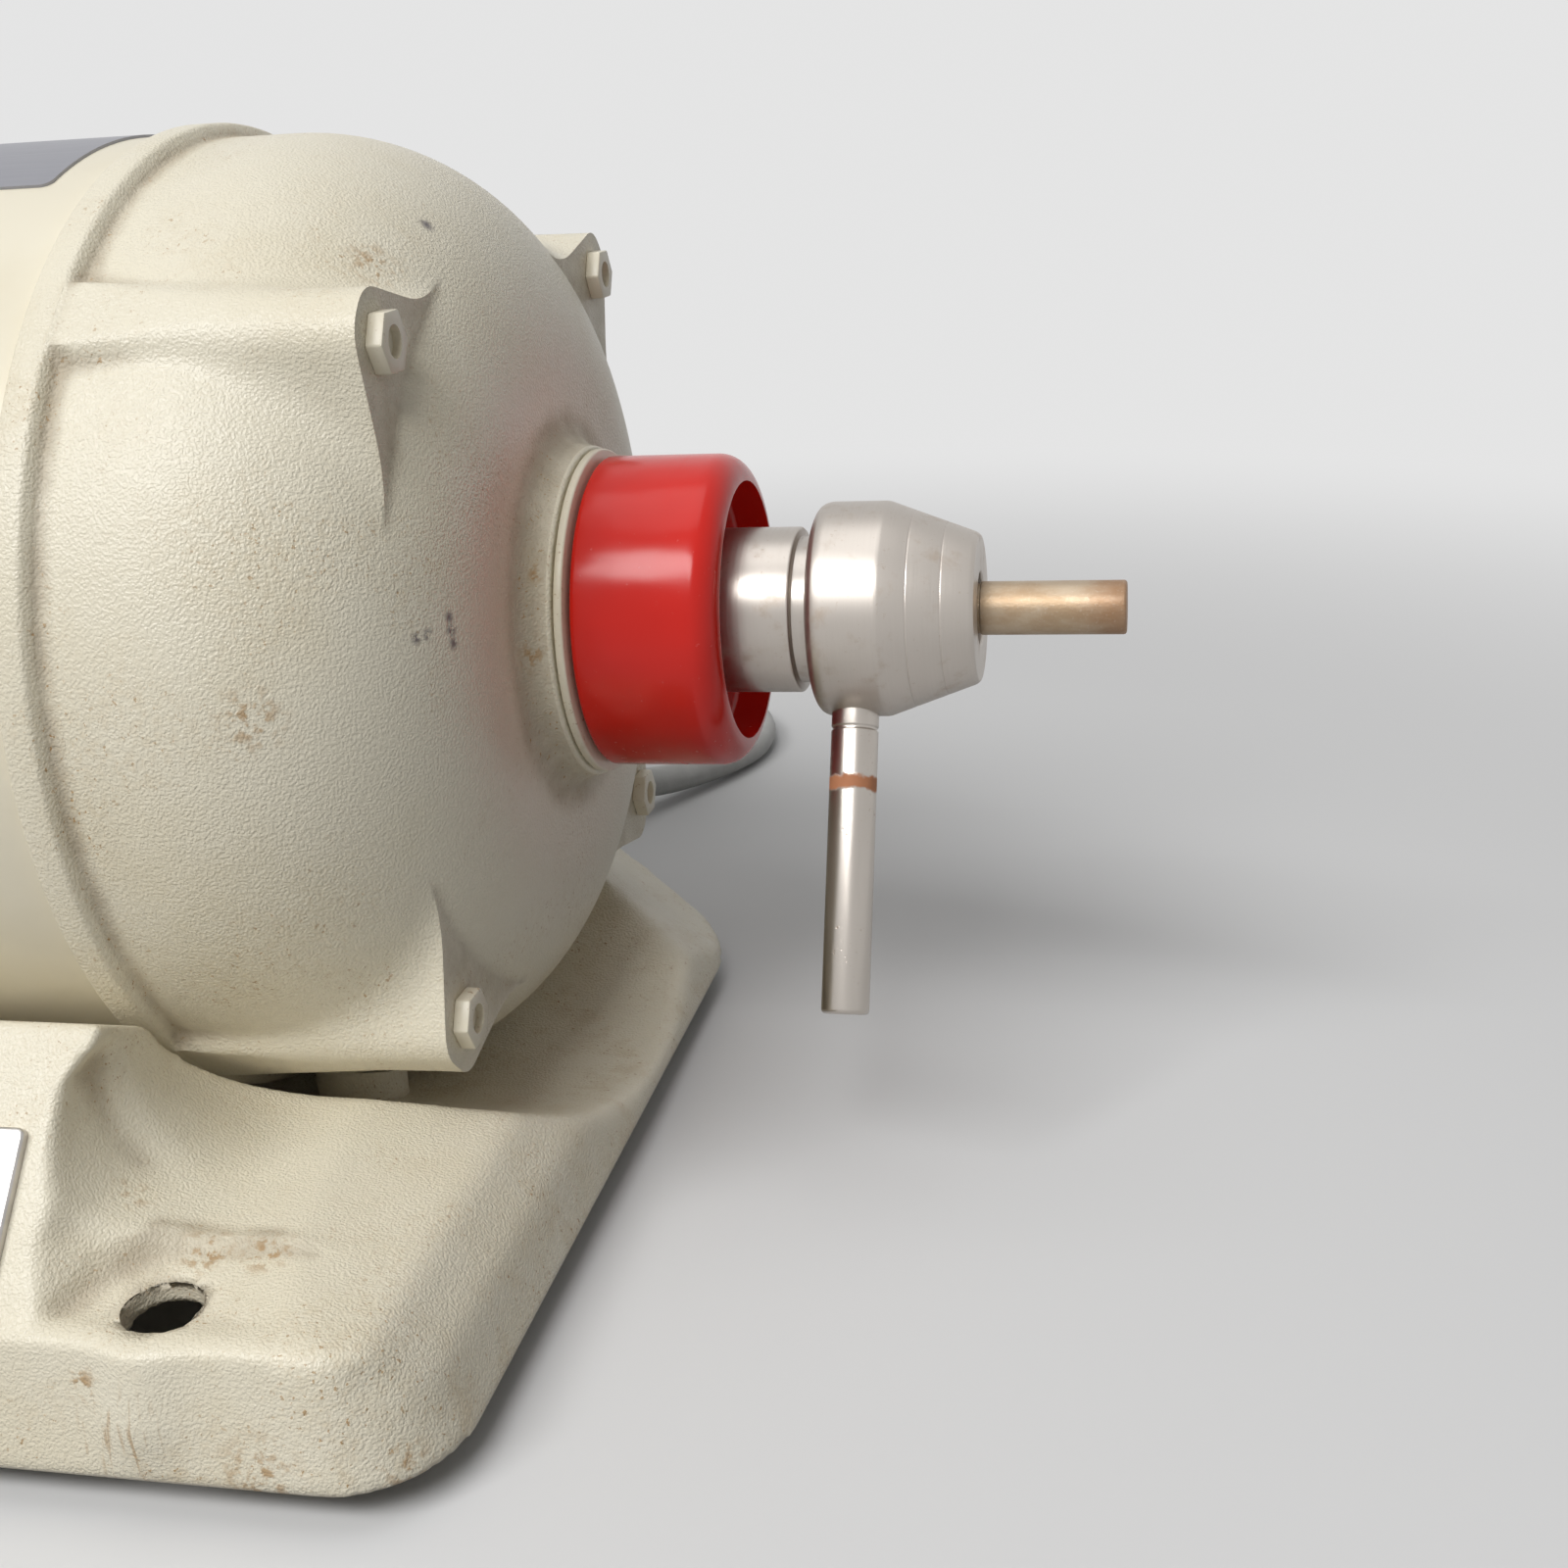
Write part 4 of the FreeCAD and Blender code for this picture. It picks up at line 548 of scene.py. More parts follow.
def move_points(mesh, points):
    mesh.vertices.foreach_set("co", points.ravel())
    mesh.update()


def paint_soil_and_shade(mesh, extra=0, gain=1.0):
    """Store on each point how hollow the surface is there, for dirtying and painted shade in hollows.
    """
    points = mesh_points(mesh)
    pairs = np.empty(len(mesh.edges) * 2, dtype=int)
    mesh.edges.foreach_get("vertices", pairs)
    pairs = pairs.reshape(-1, 2)
    count = np.bincount(pairs.ravel(), minlength=len(points))

    def neighbours(values):
        total = np.zeros_like(values)
        for here, there in (pairs.T, pairs.T[::-1]):
            np.add.at(total, here, values[there])
        return total

    lift = ((neighbours(points) / count[:, None] - points) * mesh_points(mesh, normals=True)).sum(1)
    spacing = np.linalg.norm(points[pairs[:, 0]] - points[pairs[:, 1]], axis=1).mean()
    soil_and_shade = np.clip(lift / spacing * 14 * gain, 0, 1)
    for _ in range(4):
        soil_and_shade = np.maximum(soil_and_shade * 0.9, neighbours(soil_and_shade) / count)
    # This value darkens the enamel in hollows: partly dirtying, partly painted shade.
    layer = mesh.attributes.new("soil_and_shade", "FLOAT", "POINT")
    layer.data.foreach_set("value", np.clip(soil_and_shade + extra, 0, 1).astype(np.float32))


# Cord, with its route as in the part's source, in millimetres
CORD_EXIT = (54, 131.2, 15)
CORD_ROUTE = [
    (54, 149, 15), (60, 166, 11.3), (68.5, 182, 6), (85.8, 213.2, 4.2), (84.9, 238.4, 4.2),
    (71.9, 259.8, 4.2), (49.9, 272.1, 4.3), (24, 272.9, 4.6), (-4, 272.5, 4.9), (-30, 272, 4.9),
]
COIL_CENTRE = (-60, 219)
COIL_RADIUS = 53
COIL_PITCH = 8.8
COIL_HEIGHT = 4.9
CORD_DIAMETER = 8 * MM
LAYER_HALF_TURNS = 5
TURN_STEPS = 8
TAIL_TURN = 30
TAIL_RADIUS = 44
TAIL_STRAIGHT = 8


def coil_points():
    """Control points of the turns: in on the lower layer, up in half a turn, out on the upper."""
    step = COIL_PITCH / 2
    lower = [COIL_RADIUS - step * index for index in range(LAYER_HALF_TURNS)]
    climb = lower[-1] - step
    upper = [climb + step / 2] + lower[-2::-1]
    bend = math.pi / TURN_STEPS
    swell = 1 / math.cos(bend / 2)
    at_y = COIL_CENTRE[1] + COIL_RADIUS
    points = []
    way = -1
    for index, radius in enumerate(lower + [climb] + upper):
        middle = at_y + radius * way
        for corner in range(TURN_STEPS):
            angle = bend * (corner + 0.5)
            share = (corner + 0.5) / TURN_STEPS
            rise = 0 if index < len(lower) else 1
            if index == len(lower):
                rise = passage(share, 0, 1)
            points.append((COIL_CENTRE[0] + radius * swell * math.sin(angle) * way,
                           middle - radius * swell * math.cos(angle) * way,
                           COIL_HEIGHT + COIL_PITCH * rise))
        at_y = middle + radius * way
        way = -way
    turn = math.radians(TAIL_TURN)
    reach = TAIL_RADIUS * math.tan(turn / 2)
    top = COIL_HEIGHT + COIL_PITCH
    corner = (COIL_CENTRE[0] + reach, at_y, top)
    end = reach + TAIL_STRAIGHT
    points += [corner, (corner[0] + end * math.cos(turn), at_y - end * math.sin(turn), top)]
    return points


class LATHE_OT_cord(bpy.types.Operator):
    """Lay the mains cord, its coil, tie, strain relief and plug"""
    bl_idname = "lathe.cord"
    bl_label = "Mains cord"

    def execute(self, context):
        curve = bpy.data.curves.new("mains_cord", "CURVE")
        curve.dimensions = "3D"
        curve.bevel_depth = CORD_DIAMETER / 2
        curve.bevel_resolution = 5
        curve.use_fill_caps = True
        curve.resolution_u = 6
        route = [CORD_EXIT] + CORD_ROUTE + coil_points()
        spline = curve.splines.new("NURBS")
        spline.points.add(len(route) - 1)
        for point, place in zip(spline.points, route):
            point.co = (*(part * MM for part in place), 1)
        spline.order_u = 3
        spline.use_endpoint_u = True
        cord = settle("mains_cord", curve, "frame", "cord_grey", "cord", "power_cord", "cord_coil")
        dress("cord", "strain_relief", "plug_body")
        dress("black", "coil_tie")
        dress("brass", "plug_pins")
        return {"FINISHED"}


# Forms of the base that its solid leaves plain, in millimetres
PAD_BACK = ((51.9, 53.8, 55.8, 57.7, 60.9, 65.6, 74.9, 85.5, 95.7),
            (-97.5, -93.9, -88, -83.4, -80.2, -78.5, -77.5, -77, -75.6))
PAD_SINK = 1.2
PAD_STEP = 1.3
PAD_BEAD = 0.5
BLOCK_DRAW = 2.6
HOLE = (68.5, -90.5, 5.75)
HOLE_SLACK = 0.7
BOSS_X = 69.5
BOSS_HALF = 6
BOSS_SWELL = 2.0
END_INSETS = ((5.5, 16.5, 24.5), (0, 3.6, 10.8))
FRONT_CORNER = (92.8, 85, 18, 20.3)
REAR_CORNER = (70.8, 63, 40, 22.5)
SIDE_INSET = 3.6
CORNER_CORE = 0.45
TINY = 1e-9
EASED_FROM = 88 * MM
EASED_OVER = 9 * MM
EASE_ROUNDS = 10


def pad_plane(y):
    return 25.8 + 0.1212 * (y + 99.4)


def shape_pads(x, y, z, upward):
    """Sink each bolt pad under the deck's edge and swell the skirt in front of each bench hole."""
    across = np.abs(x)
    back = np.interp(across, *PAD_BACK)
    sink = passage(back - y, 0, PAD_STEP, 0, PAD_SINK) * passage(y, -97.5, -92)
    bead = PAD_BEAD * np.exp(-((y - back - 0.6) / 1.1) ** 2) * passage(y, -94, -84)
    fade = passage(across, 52, 55) * passage(across, 92, 76)
    on_pad = upward & (np.abs(z - pad_plane(y)) < 2.5)
    z += np.where(on_pad, (bead - np.where(y < back, sink, 0)) * fade, 0)
    swell = BOSS_SWELL * np.exp(-((across - BOSS_X) / BOSS_HALF) ** 2)
    y -= swell * passage(y, -97, -98.5) * passage(z, 5.5, 16)


def round_corner(x, y, z, way, corner):
    """Draw a corner of the skirt in, so that its lean goes round from the end to the side."""
    middle_x, middle_y, radius, tall = corner
    core = radius * CORNER_CORE
    out_x = np.abs(x) - middle_x
    out_y = y * way - middle_y
    reach = np.hypot(out_x, out_y) + TINY
    here = (out_x > 0) & (out_y > 0) & (reach > core)
    lean_x, lean_y = out_x / reach, out_y / reach
    inset_x = np.interp(z, *END_INSETS)
    inset_y = SIDE_INSET * np.clip((z - END_INSETS[0][0]) / tall, 0, 1)
    flat = np.minimum((radius - inset_x) / np.maximum(lean_x, 1e-3),
                      (radius - inset_y) / np.maximum(lean_y, 1e-3))
    wanted = radius - inset_x * lean_x ** 2 - inset_y * lean_y ** 2
    pull = np.maximum(np.minimum(flat, radius) - wanted, 0) * passage(reach, core, radius)
    scale = 1 - pull / reach
    x[:] = np.where(here, np.sign(x) * (middle_x + out_x * scale), x)
    y[:] = np.where(here, way * (middle_y + out_y * scale), y)


def narrow_block(x, y, z):
    """Draw the sides of the switch block in under its top edge."""
    across = np.abs(x)
    draw = BLOCK_DRAW * passage(z, 27, 35) * passage(z, 57, 50)
    draw *= passage(y, -62, -70) * passage(across, 42, 52) * passage(across, 68, 56)
    x -= np.sign(x) * draw


def true_holes(x, y):
    """Bring the walls of the bench holes back to a round."""
    hole_x, hole_y, radius = HOLE
    out_x = np.abs(x) - hole_x
    out_y = y - hole_y
    reach = np.hypot(out_x, out_y) + TINY
    scale = np.where(reach < radius + HOLE_SLACK, radius / reach, 1)
    x[:] = np.sign(x) * (hole_x + out_x * scale)
    y[:] = hole_y + out_y * scale


def ease_ends(mesh):
    """Roll the deck's outer edges over."""
    bm = bmesh.new()
    bm.from_mesh(mesh)
    outer = [vert for vert in bm.verts if abs(vert.co.x) > EASED_FROM and vert.co.z > EASED_OVER]
    for _ in range(EASE_ROUNDS):
        bmesh.ops.smooth_vert(bm, verts=outer, factor=0.5,
                              use_axis_x=True, use_axis_y=True, use_axis_z=True)
    bm.to_mesh(mesh)
    bm.free()


def shape_base(mesh):
    """Give the base the forms of the casting that its plain solid leaves out."""
    points = mesh_points(mesh) / MM
    x, y, z = points.T
    shape_pads(x, y, z, mesh_points(mesh, normals=True)[:, 2] > 0.35)
    round_corner(x, y, z, -1, FRONT_CORNER)
    round_corner(x, y, z, 1, REAR_CORNER)
    narrow_block(x, y, z)
    true_holes(x, y)
    move_points(mesh, points * MM)
    ease_ends(mesh)


class LATHE_OT_base(bpy.types.Operator):
    """Soften the base casting's edges as a cast and painted piece has them"""
    bl_idname = "lathe.base"
    bl_label = "Base casting"

    def execute(self, context):
        bm = bmesh.new()
        bm.from_mesh(NODES["base_casting"].data)
        bmesh.ops.remove_doubles(bm, verts=bm.verts, dist=1e-6)
        shell = add_object("base_rough", as_mesh(bm, "base_rough"))
        grid = shell.modifiers.new("grid", "REMESH")
        grid.mode = "VOXEL"
        grid.voxel_size = shapes().cast_grid
        soft = shell.modifiers.new("soft", "SMOOTH")
        soft.iterations = shapes().cast_softness
        soft.factor = 0.5
        ready = shell.evaluated_get(context.evaluated_depsgraph_get())
        mesh = bpy.data.meshes.new_from_object(ready)
        bpy.data.objects.remove(shell)
        mesh.name = "base"
        mesh.materials.clear()
        shape_base(mesh)
        mesh.shade_smooth()
        paint_soil_and_shade(mesh)
        settle("base", mesh, "frame", "cream_enamel", "cast", "base_casting")
        return {"FINISHED"}


# End bells, in millimetres
RIB_END = 94.0
RIB_END_EDGE = 0.01
BELL_FACE = 101.5
BELL_RADIUS = 81.8
BELL_ROUND = 40
BELL_WALL = 5
BELL_ANGLES = (45, 135, 225, 315)
LUG_WIDTH = 2.4


def bell_profile():
    """Half section of a bell: spigot, band, recess, round dome, hub, bearing seat and inside."""
    return [
        (38.5, 75.3), (38.5, 80.3), (43.5, 80.3), (43.5, 84.2, 0.7), (48.5, 84.2, 0.7),
        (49.7, BELL_RADIUS, 0.7), (BELL_FACE, BELL_RADIUS, BELL_ROUND),
        (BELL_FACE, 28.6, 4.3), (106.5, 28.6, 0.6), (106.5, 17), (101.5, 17), (101.5, 13),
        (98.8, 13), (98.8, 20), (86, 20), (86, 26), (BELL_FACE - BELL_WALL, 26),
        (BELL_FACE - BELL_WALL, BELL_RADIUS - BELL_WALL, BELL_ROUND - BELL_WALL),
    ]


def rib_height(x, across, lug):
    """Height of a rib over the shaft: flat at the band, a rounded ridge at the nut, steep flanks."""
    top = passage(x, 49, RIB_END, 84.05, 82.8)
    flat = passage(x, 49, 74, 5.2, 0.5) + lug
    crown = passage(x, 49, 78, 0.8, 6.5)
    flank = math.atan(1.6)
    beside = np.maximum(np.abs(across) - flat, 0)
    on_crown = crown - np.sqrt(np.maximum(crown * crown - beside * beside, 0))
    past = beside - crown * math.sin(flank)
    on_flank = crown * (1 - math.cos(flank)) + past * math.tan(flank)
    return top - np.where(past < 0, on_crown, on_flank)


def raise_ribs(mesh, side, blend):
    """Push the skin of a bell out to the four ribs that carry the long bolts."""
    points = mesh_points(mesh)
    x = points[:, 0] / MM * side
    centre = np.array(SHAFT)[1:]
    flat = (points[:, 1:] - centre) / MM
    radius = np.linalg.norm(flat, axis=1)
    past = np.maximum(x - (BELL_FACE - BELL_ROUND), 0)
    skin = np.hypot(past, radius - (BELL_RADIUS - BELL_ROUND)) > BELL_ROUND - BELL_WALL / 2
    outer = skin & (radius > 45) & (x > 48.55) & (x < RIB_END)
    across, up = flat.T
    off = np.arctan2(up, across) % (math.pi / 2) - math.pi / 4
    lug = np.where((up < 0) & (off * across < 0), LUG_WIDTH, 0)
    reach = np.full(len(points), 80.0)
    for _ in range(10):
        rib = rib_height(x, reach * np.sin(off), lug) / np.cos(off)
        reach = 0.5 * reach + 0.5 * np.clip(rib, 20, 90)
    soft = passage(x, 50, 80, 1.2, blend / MM)
    swell = -blend_least(-reach, -radius, soft)
    grown = np.where(outer, np.maximum(swell, radius), radius)
    points[:, 1:] = centre + flat * (grown / radius)[:, None] * MM
    move_points(mesh, points)


def bell_piece(name, side, node):
    bm = turned(bell_profile(), side, steps=576, segments=3, longest=2.6,
                splits=(RIB_END - RIB_END_EDGE, RIB_END + RIB_END_EDGE))
    bmesh.ops.recalc_face_normals(bm, faces=bm.faces)
    mesh = as_mesh(bm, name)
    raise_ribs(mesh, side, shapes().rib_blend)
    smooth(mesh, 40)
    along = mesh_points(mesh)[:, 0] / MM * side
    # Along the band's step the darkening is raised: partly dirtying, partly painted shade.
    recess = passage(along, 48.8, 49.4) * passage(along, 52.5, 50)
    paint_soil_and_shade(mesh, extra=recess * 0.35, gain=0.8)
    settle(name, mesh, "frame", "cream_enamel", "cast", node)


class LATHE_OT_bells(bpy.types.Operator):
    """Make both end bells with their blended ribs"""
    bl_idname = "lathe.bells"
    bl_label = "End bells"

    def execute(self, context):
        bell_piece("right_bell", 1, "right_end_bell")
        bell_piece("left_bell", -1, "left_end_bell")
        dress("cast", "seat_spacers")
        return {"FINISHED"}


SHELL_END = 43.5
SHELL_RADIUS = 82.6


class LATHE_OT_shell(bpy.types.Operator):
    """Make the smooth motor shell and its bare foil plate"""
    bl_idname = "lathe.shell"
    bl_label = "Motor shell"

    def execute(self, context):
        shell = turned([
            (-SHELL_END, 80.4), (SHELL_END, 80.4), (SHELL_END, SHELL_RADIUS, 0.3),
            (-SHELL_END, SHELL_RADIUS, 0.3),
        ], steps=256, segments=2)
        piece("shell", shell, "frame", "cream_enamel", "smooth", "motor_shell")
        high = Vector(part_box("rating_plate")[1])
        outer = high.z - SHAFT.z
        spread = math.asin((high.y - SHAFT.y) / outer)
        plate = bmesh.new()
        bmesh.ops.create_grid(plate, x_segments=1, y_segments=1, size=1)
        bmesh.ops.scale(plate, vec=(high.x, spread * outer, 1), verts=plate.verts)
        soften(plate, plate.verts[:], 1.8, 8, "VERTICES")
        for cut in np.linspace(-spread, spread, 24)[1:-1]:
            bmesh.ops.bisect_plane(plate, geom=plate.verts[:] + plate.edges[:] + plate.faces[:],
                                   plane_co=(0, cut * outer, 0), plane_no=(0, 1, 0))
        bmesh.ops.solidify(plate, geom=plate.faces[:], thickness=outer - (SHELL_RADIUS + 0.04) * MM)
        for vert in plate.verts:
            reach = outer - 0.02 * MM + (vert.co.z if vert.co.z < 0 else 0)
            turn = vert.co.y / outer
            vert.co = SHAFT + Vector((vert.co.x, reach * math.sin(turn), reach * math.cos(turn)))
        piece("rating_foil", plate, "frame", "blank_foil", "foil", "rating_plate")
        return {"FINISHED"}


# Fasteners
def hexagon(flats, height, hole, bevel):
    """A nut along X with its corners turned off and a hole through it."""
    bm = bmesh.new()
    bmesh.ops.create_circle(bm, segments=6, radius=flats / math.sqrt(3) * MM)
    bmesh.ops.create_circle(bm, segments=36, radius=hole * MM)
    bmesh.ops.bridge_loops(bm, edges=bm.edges[:])
    raised = bmesh.ops.extrude_face_region(bm, geom=bm.faces[:])["geom"]
    bmesh.ops.translate(bm, vec=(0, 0, height * MM),
                        verts=[item for item in raised if isinstance(item, bmesh.types.BMVert)])
    outline = [edge for edge in bm.edges if edge.calc_length() > MM
               and all(vert.co.xy.length > hole * 1.2 * MM for vert in edge.verts)]
    soften(bm, outline, bevel, 2)
    move(bm, Matrix.Rotation(math.pi / 2, 4, "Y"))
    return bm


def gather(target, source, matrix=NO_TURN):
    """Add one bmesh to another at a place."""
    move(source, matrix)
    spare = as_mesh(source, "spare")
    target.from_mesh(spare)
    bpy.data.meshes.remove(spare)


NUT_FLATS = 8.6
NUT_HEIGHT = 2.6
BOLT_CIRCLE = 75 * MM


class LATHE_OT_fasteners(bpy.types.Operator):
    """Make the long bolts, their nuts, and dress the other screws"""
    bl_idname = "lathe.fasteners"
    bl_label = "Fasteners"

    def execute(self, context):
        nuts = bmesh.new()
        bolts = bmesh.new()
        for angle in BELL_ANGLES:
            turn = math.radians(angle)
            spot = SHAFT + Vector((0, math.cos(turn), math.sin(turn))) * BOLT_CIRCLE
            nut_place = Matrix.Translation(spot + Vector((RIB_END * MM, 0, 0)))
            gather(nuts, hexagon(NUT_FLATS, NUT_HEIGHT, 2.42, 0.3), nut_place)
            stem = turned([(-RIB_END, 0), (-RIB_END, 2.4), (95.4, 2.4, 0.5), (95.4, 0)],
                          steps=36, at=spot)
            gather(bolts, stem)
            head_place = Matrix.Translation(spot - Vector(((RIB_END + NUT_HEIGHT) * MM, 0, 0)))
            gather(bolts, hexagon(NUT_FLATS, NUT_HEIGHT, 1.2, 0.3), head_place)
            plug = turned([(-96.3, 0), (-96.3, 1.3), (-RIB_END, 1.3), (-RIB_END, 0)], steps=24, at=spot)
            gather(bolts, plug)
        piece("bolt_nuts", nuts, "frame", "cream_enamel", "painted", "through_bolt_nuts")
        piece("long_bolts", bolts, "frame", "cream_enamel", "painted", "through_bolts")
        dress("plated", "foot_screws", "seat_bolts", "preload_washer")
        dress("rubber", "rubber_feet")
        return {"FINISHED"}


# Release collars
class LATHE_OT_release(bpy.types.Operator):
    """Make the red release collars and the thin rings behind them"""
    bl_idname = "lathe.release"
    bl_label = "Release collars"

    def execute(self, context):
        for name, side in (("right", 1), ("left", -1)):
            collar = turned([
                (109, 20.05), (109, 26.7, 0.9), (133, 26.7, 4.6), (133, 22, 2),
                (126.5, 22, 1), (126.5, 15.2, 0.6), (117.4, 15.2), (117.4, 23),
                (111.4, 23), (111.4, 20.05),
            ], side, steps=160, segments=10)
            piece(f"{name}_collar_dip", collar, f"{name}_collar", "red_plastic", "red",
                  f"{name}_release_collar")
            bush = turned([
                (101.5, 13.05), (101.5, 16.95), (106.8, 16.95), (106.8, 28, 0.4),
                (108.3, 28, 0.4), (108.3, 20), (116.7, 20), (116.7, 13.05),
            ], side, segments=3)
            piece(f"{name}_ring", bush, "frame", "cream_enamel", "painted", f"{name}_collar_bush")
            dress("steel", f"{name}_ejector_sleeve", f"{name}_cam_pins")
        return {"FINISHED"}


# Chuck
# The bore that fits the shaft's taper, in both sleeves
TAPER_BORE = [(146.9, 0), (146.9, 6.62), (146.6, 6.62), (118.6, 7.92), (118.6, 14.1, 0.5)]


class LATHE_OT_chuck(bpy.types.Operator):
    """Make the lever chuck, its closing collar, lever, collet and pin"""
    bl_idname = "lathe.chuck"
    bl_label = "Lever chuck"

    def execute(self, context):
        body = turned([
            *TAPER_BORE, (142.6, 14.1, 0.5), (142.6, 12.4, 0.2), (145.3, 12.4, 0.2), (145.3, 11),
            (160.6, 11, 0.3), (160.6, 7.45), (148.7, 7.45), (148.7, 0),
        ], segments=3)
        piece("chuck_sleeve", body, "chuck", "turned_steel", "sleeve_steel", "chuck_body")
        closer = turned([
            (145.6, 11.05), (145.6, 17.3, 1.4), (147.6, 18.2, 0.8), (157.6, 18.2, 0.5),
            (162, 16.55, 0.05), (162.12, 16.4, 0.05), (162.3, 16.44, 0.05), (167.4, 14.55, 0.05),
            (167.52, 14.4, 0.05), (167.7, 14.44, 0.05), (172.4, 12.7, 0.5), (172.8, 12.2, 0.2),
            (172.8, 6.1, 0.4), (169.3, 6.1), (160.9, 7.5), (160.9, 11.05),
        ], steps=160, segments=4)
        piece("closing_cone", closer, "closer", "turned_steel", "steel", "closing_collar")
        aim = Matrix((
            (0, 1, 0, 0),
            (-math.sin(LEVER_LEAN), 0, -math.cos(LEVER_LEAN), 0),
            (-math.cos(LEVER_LEAN), 0, math.sin(LEVER_LEAN), 0),
            (0, 0, 0, 1),
        ))
        lever = turned([
            (13.6, 0), (13.6, 4), (20.4, 4, 0.1), (20.6, 3.8, 0.1), (21, 3.8, 0.1),
            (21.2, 4, 0.1), (LEVER_REACH, 4, 0.7), (LEVER_REACH, 0),
        ], steps=64, segments=3, at=SHAFT + Vector((152.1 * MM, 0, 0)), aim=aim)
        piece("lever_bar", lever, "closer", "turned_steel", "lever", "lever_rod")
        pin = turned([
            (155, 0), (155, 4.2), (172.9, 4.2), (172.9, 4.5, 0.2), (197, 4.5, 0.5), (197, 0),
        ], steps=64, segments=3, longest=3)
        piece("pin", pin, "gripped_pin", "stained_steel", "pin", "mandrel_pin")
        dress("steel", "collet")
        return {"FINISHED"}


class LATHE_OT_screw(bpy.types.Operator):
    """Make the tapered screw spindle with its thread"""
    bl_idname = "lathe.screw"
    bl_label = "Screw spindle"

    def execute(self, context):
        pitch = shapes().thread_pitch
        depth = shapes().thread_depth
        sleeve = turned([
            *TAPER_BORE, (142.6, 14.1, 0.6), (142.6, 12.4, 0.2), (145.6, 12.4, 0.2), (145.6, 10.5),
            (146.6, 9.6), (147, 0),
        ], -1, segments=3)
        long = bmesh.new()
        screw = turned([(145.6, 9.6), (197, 2), (197, 0)], -1, steps=72, longest=0.35)
        start, end, fade_over = 146.5 * MM, 195.5 * MM, 3 * MM
        for vert in screw.verts:
            along = -vert.co.x
            flat = (vert.co - SHAFT) * Vector((0, 1, 1))
            if flat.length < 1e-5:
                continue
            phase = (along / pitch + math.atan2(flat.z, flat.y) / FULL_TURN) % 1
            ridge = max(0, 1 - abs(phase - 0.5) * 3.2)
            fade = max(0, min(1, (along - start) / fade_over, (end - along) / fade_over))
            vert.co += flat.normalized() * (ridge * fade * depth)
        gather(long, sleeve)
        gather(long, screw)
        piece("screw_taper", long, "screw", "turned_steel", "steel", "screw_spindle", sharp=50)
        return {"FINISHED"}


# Switch
PANEL_ANGLE = math.radians(49.2)
PLATE_MIDDLE = Vector((0, -87.115, 38.317)) * MM
PLATE_THICK = 1.5
PLATE_SCREW_AT = 40


def on_panel(out=0.0, across=0.0):
    """Place a piece drawn with +Z out of the switch panel."""
    lean = Vector((across, -math.sin(PANEL_ANGLE) * out, math.cos(PANEL_ANGLE) * out))
    spot = PLATE_MIDDLE + lean * MM
    return Matrix.Translation(spot) @ Matrix.Rotation(PANEL_ANGLE, 4, "X")


UPRIGHT = Matrix.Rotation(-math.pi / 2, 4, "Y")


class LATHE_OT_switch(bpy.types.Operator):
    """Make the bright switch plate, its screws, the nut and the toggle"""
    bl_idname = "lathe.switch"
    bl_label = "Switch"

    def execute(self, context):
        plate = bmesh.new()
        box = Matrix.Diagonal((92 * MM, 21.4 * MM, PLATE_THICK * MM, 1))
        bmesh.ops.create_cube(plate, size=1, matrix=box)
        bmesh.ops.translate(plate, vec=(0, 0, PLATE_THICK / 2 * MM), verts=plate.verts)
        upright = [edge for edge in plate.edges if abs(edge.verts[0].co.z - edge.verts[1].co.z) > 1e-4]
        soften(plate, upright, 1.2, 5)
        rim = [edge for edge in plate.edges if all(vert.co.z > 1.4 * MM for vert in edge.verts)]
        soften(plate, rim, 0.5, 3)
        move(plate, on_panel())
        piece("switch_face", plate, "frame", "switch_chrome", "chrome", "switch_plate")
        screws = bmesh.new()
        for side in (1, -1):
            head = turned([(0, 0), (0, 3, 0.3), (1, 2.7, 0.5), (1.4, 1.2), (1.4, 0)],
                          steps=48, at=Vector(), aim=UPRIGHT)
            slot = [vert for vert in head.verts if abs(vert.co.y) < 0.42 * MM and vert.co.z > 0.9 * MM]
            bmesh.ops.translate(head, vec=(0, 0, -0.55 * MM), verts=slot)
            gather(screws, head, on_panel(PLATE_THICK, PLATE_SCREW_AT * side))
        piece("plate_screw_heads", screws, "frame", "plated_steel", "plated", "switch_plate_screws")
        nut = hexagon(14, 2.2, 5.92, 0.4)
        move(nut, UPRIGHT)
        move(nut, on_panel(PLATE_THICK))
        piece("switch_ring_nut", nut, "frame", "switch_chrome", "chrome", "switch_nut")
        bat = turned([
            (2.6, 0), (2.6, 1.9, 0.2), (9, 1.95, 1), (14, 2.5, 2), (17.6, 2.75, 1.2),
            (20.1, 1.6, 1), (20.1, 0),
        ], steps=48, at=Vector(), aim=UPRIGHT)
        move(bat, on_panel())
        piece("toggle_bat", bat, "toggle", "switch_chrome", "chrome", "toggle_lever")
        dress("chrome", "switch_body")
        return {"FINISHED"}


class LATHE_OT_inside(bpy.types.Operator):
    """Finish the pieces inside the motor and the base"""
    bl_idname = "lathe.inside"
    bl_label = "Inner pieces"

    def execute(self, context):
        dress("core", "stator_core", "rotor_core")
        dress("wire", "stator_windings")
        dress("aluminium", "rotor_end_rings")
        dress("steel", "shaft")
        dress("can", "run_capacitor")
        dress("black", "capacitor_clamp")
        for side in ("right", "left"):
            bearing = f"{side}_bearing_"
            dress("bearing", bearing + "inner_race", bearing + "outer_race", bearing + "balls")
            dress("cage", bearing + "cage")
        return {"FINISHED"}


# Stage
CAMERA_SPOT = Vector((205.56, -293.38, 176.47)) * MM
CAMERA_TURN = math.radians(12.37)
CAMERA_DIP = math.radians(19.33)
CAMERA_ROLL = math.radians(-3.53)


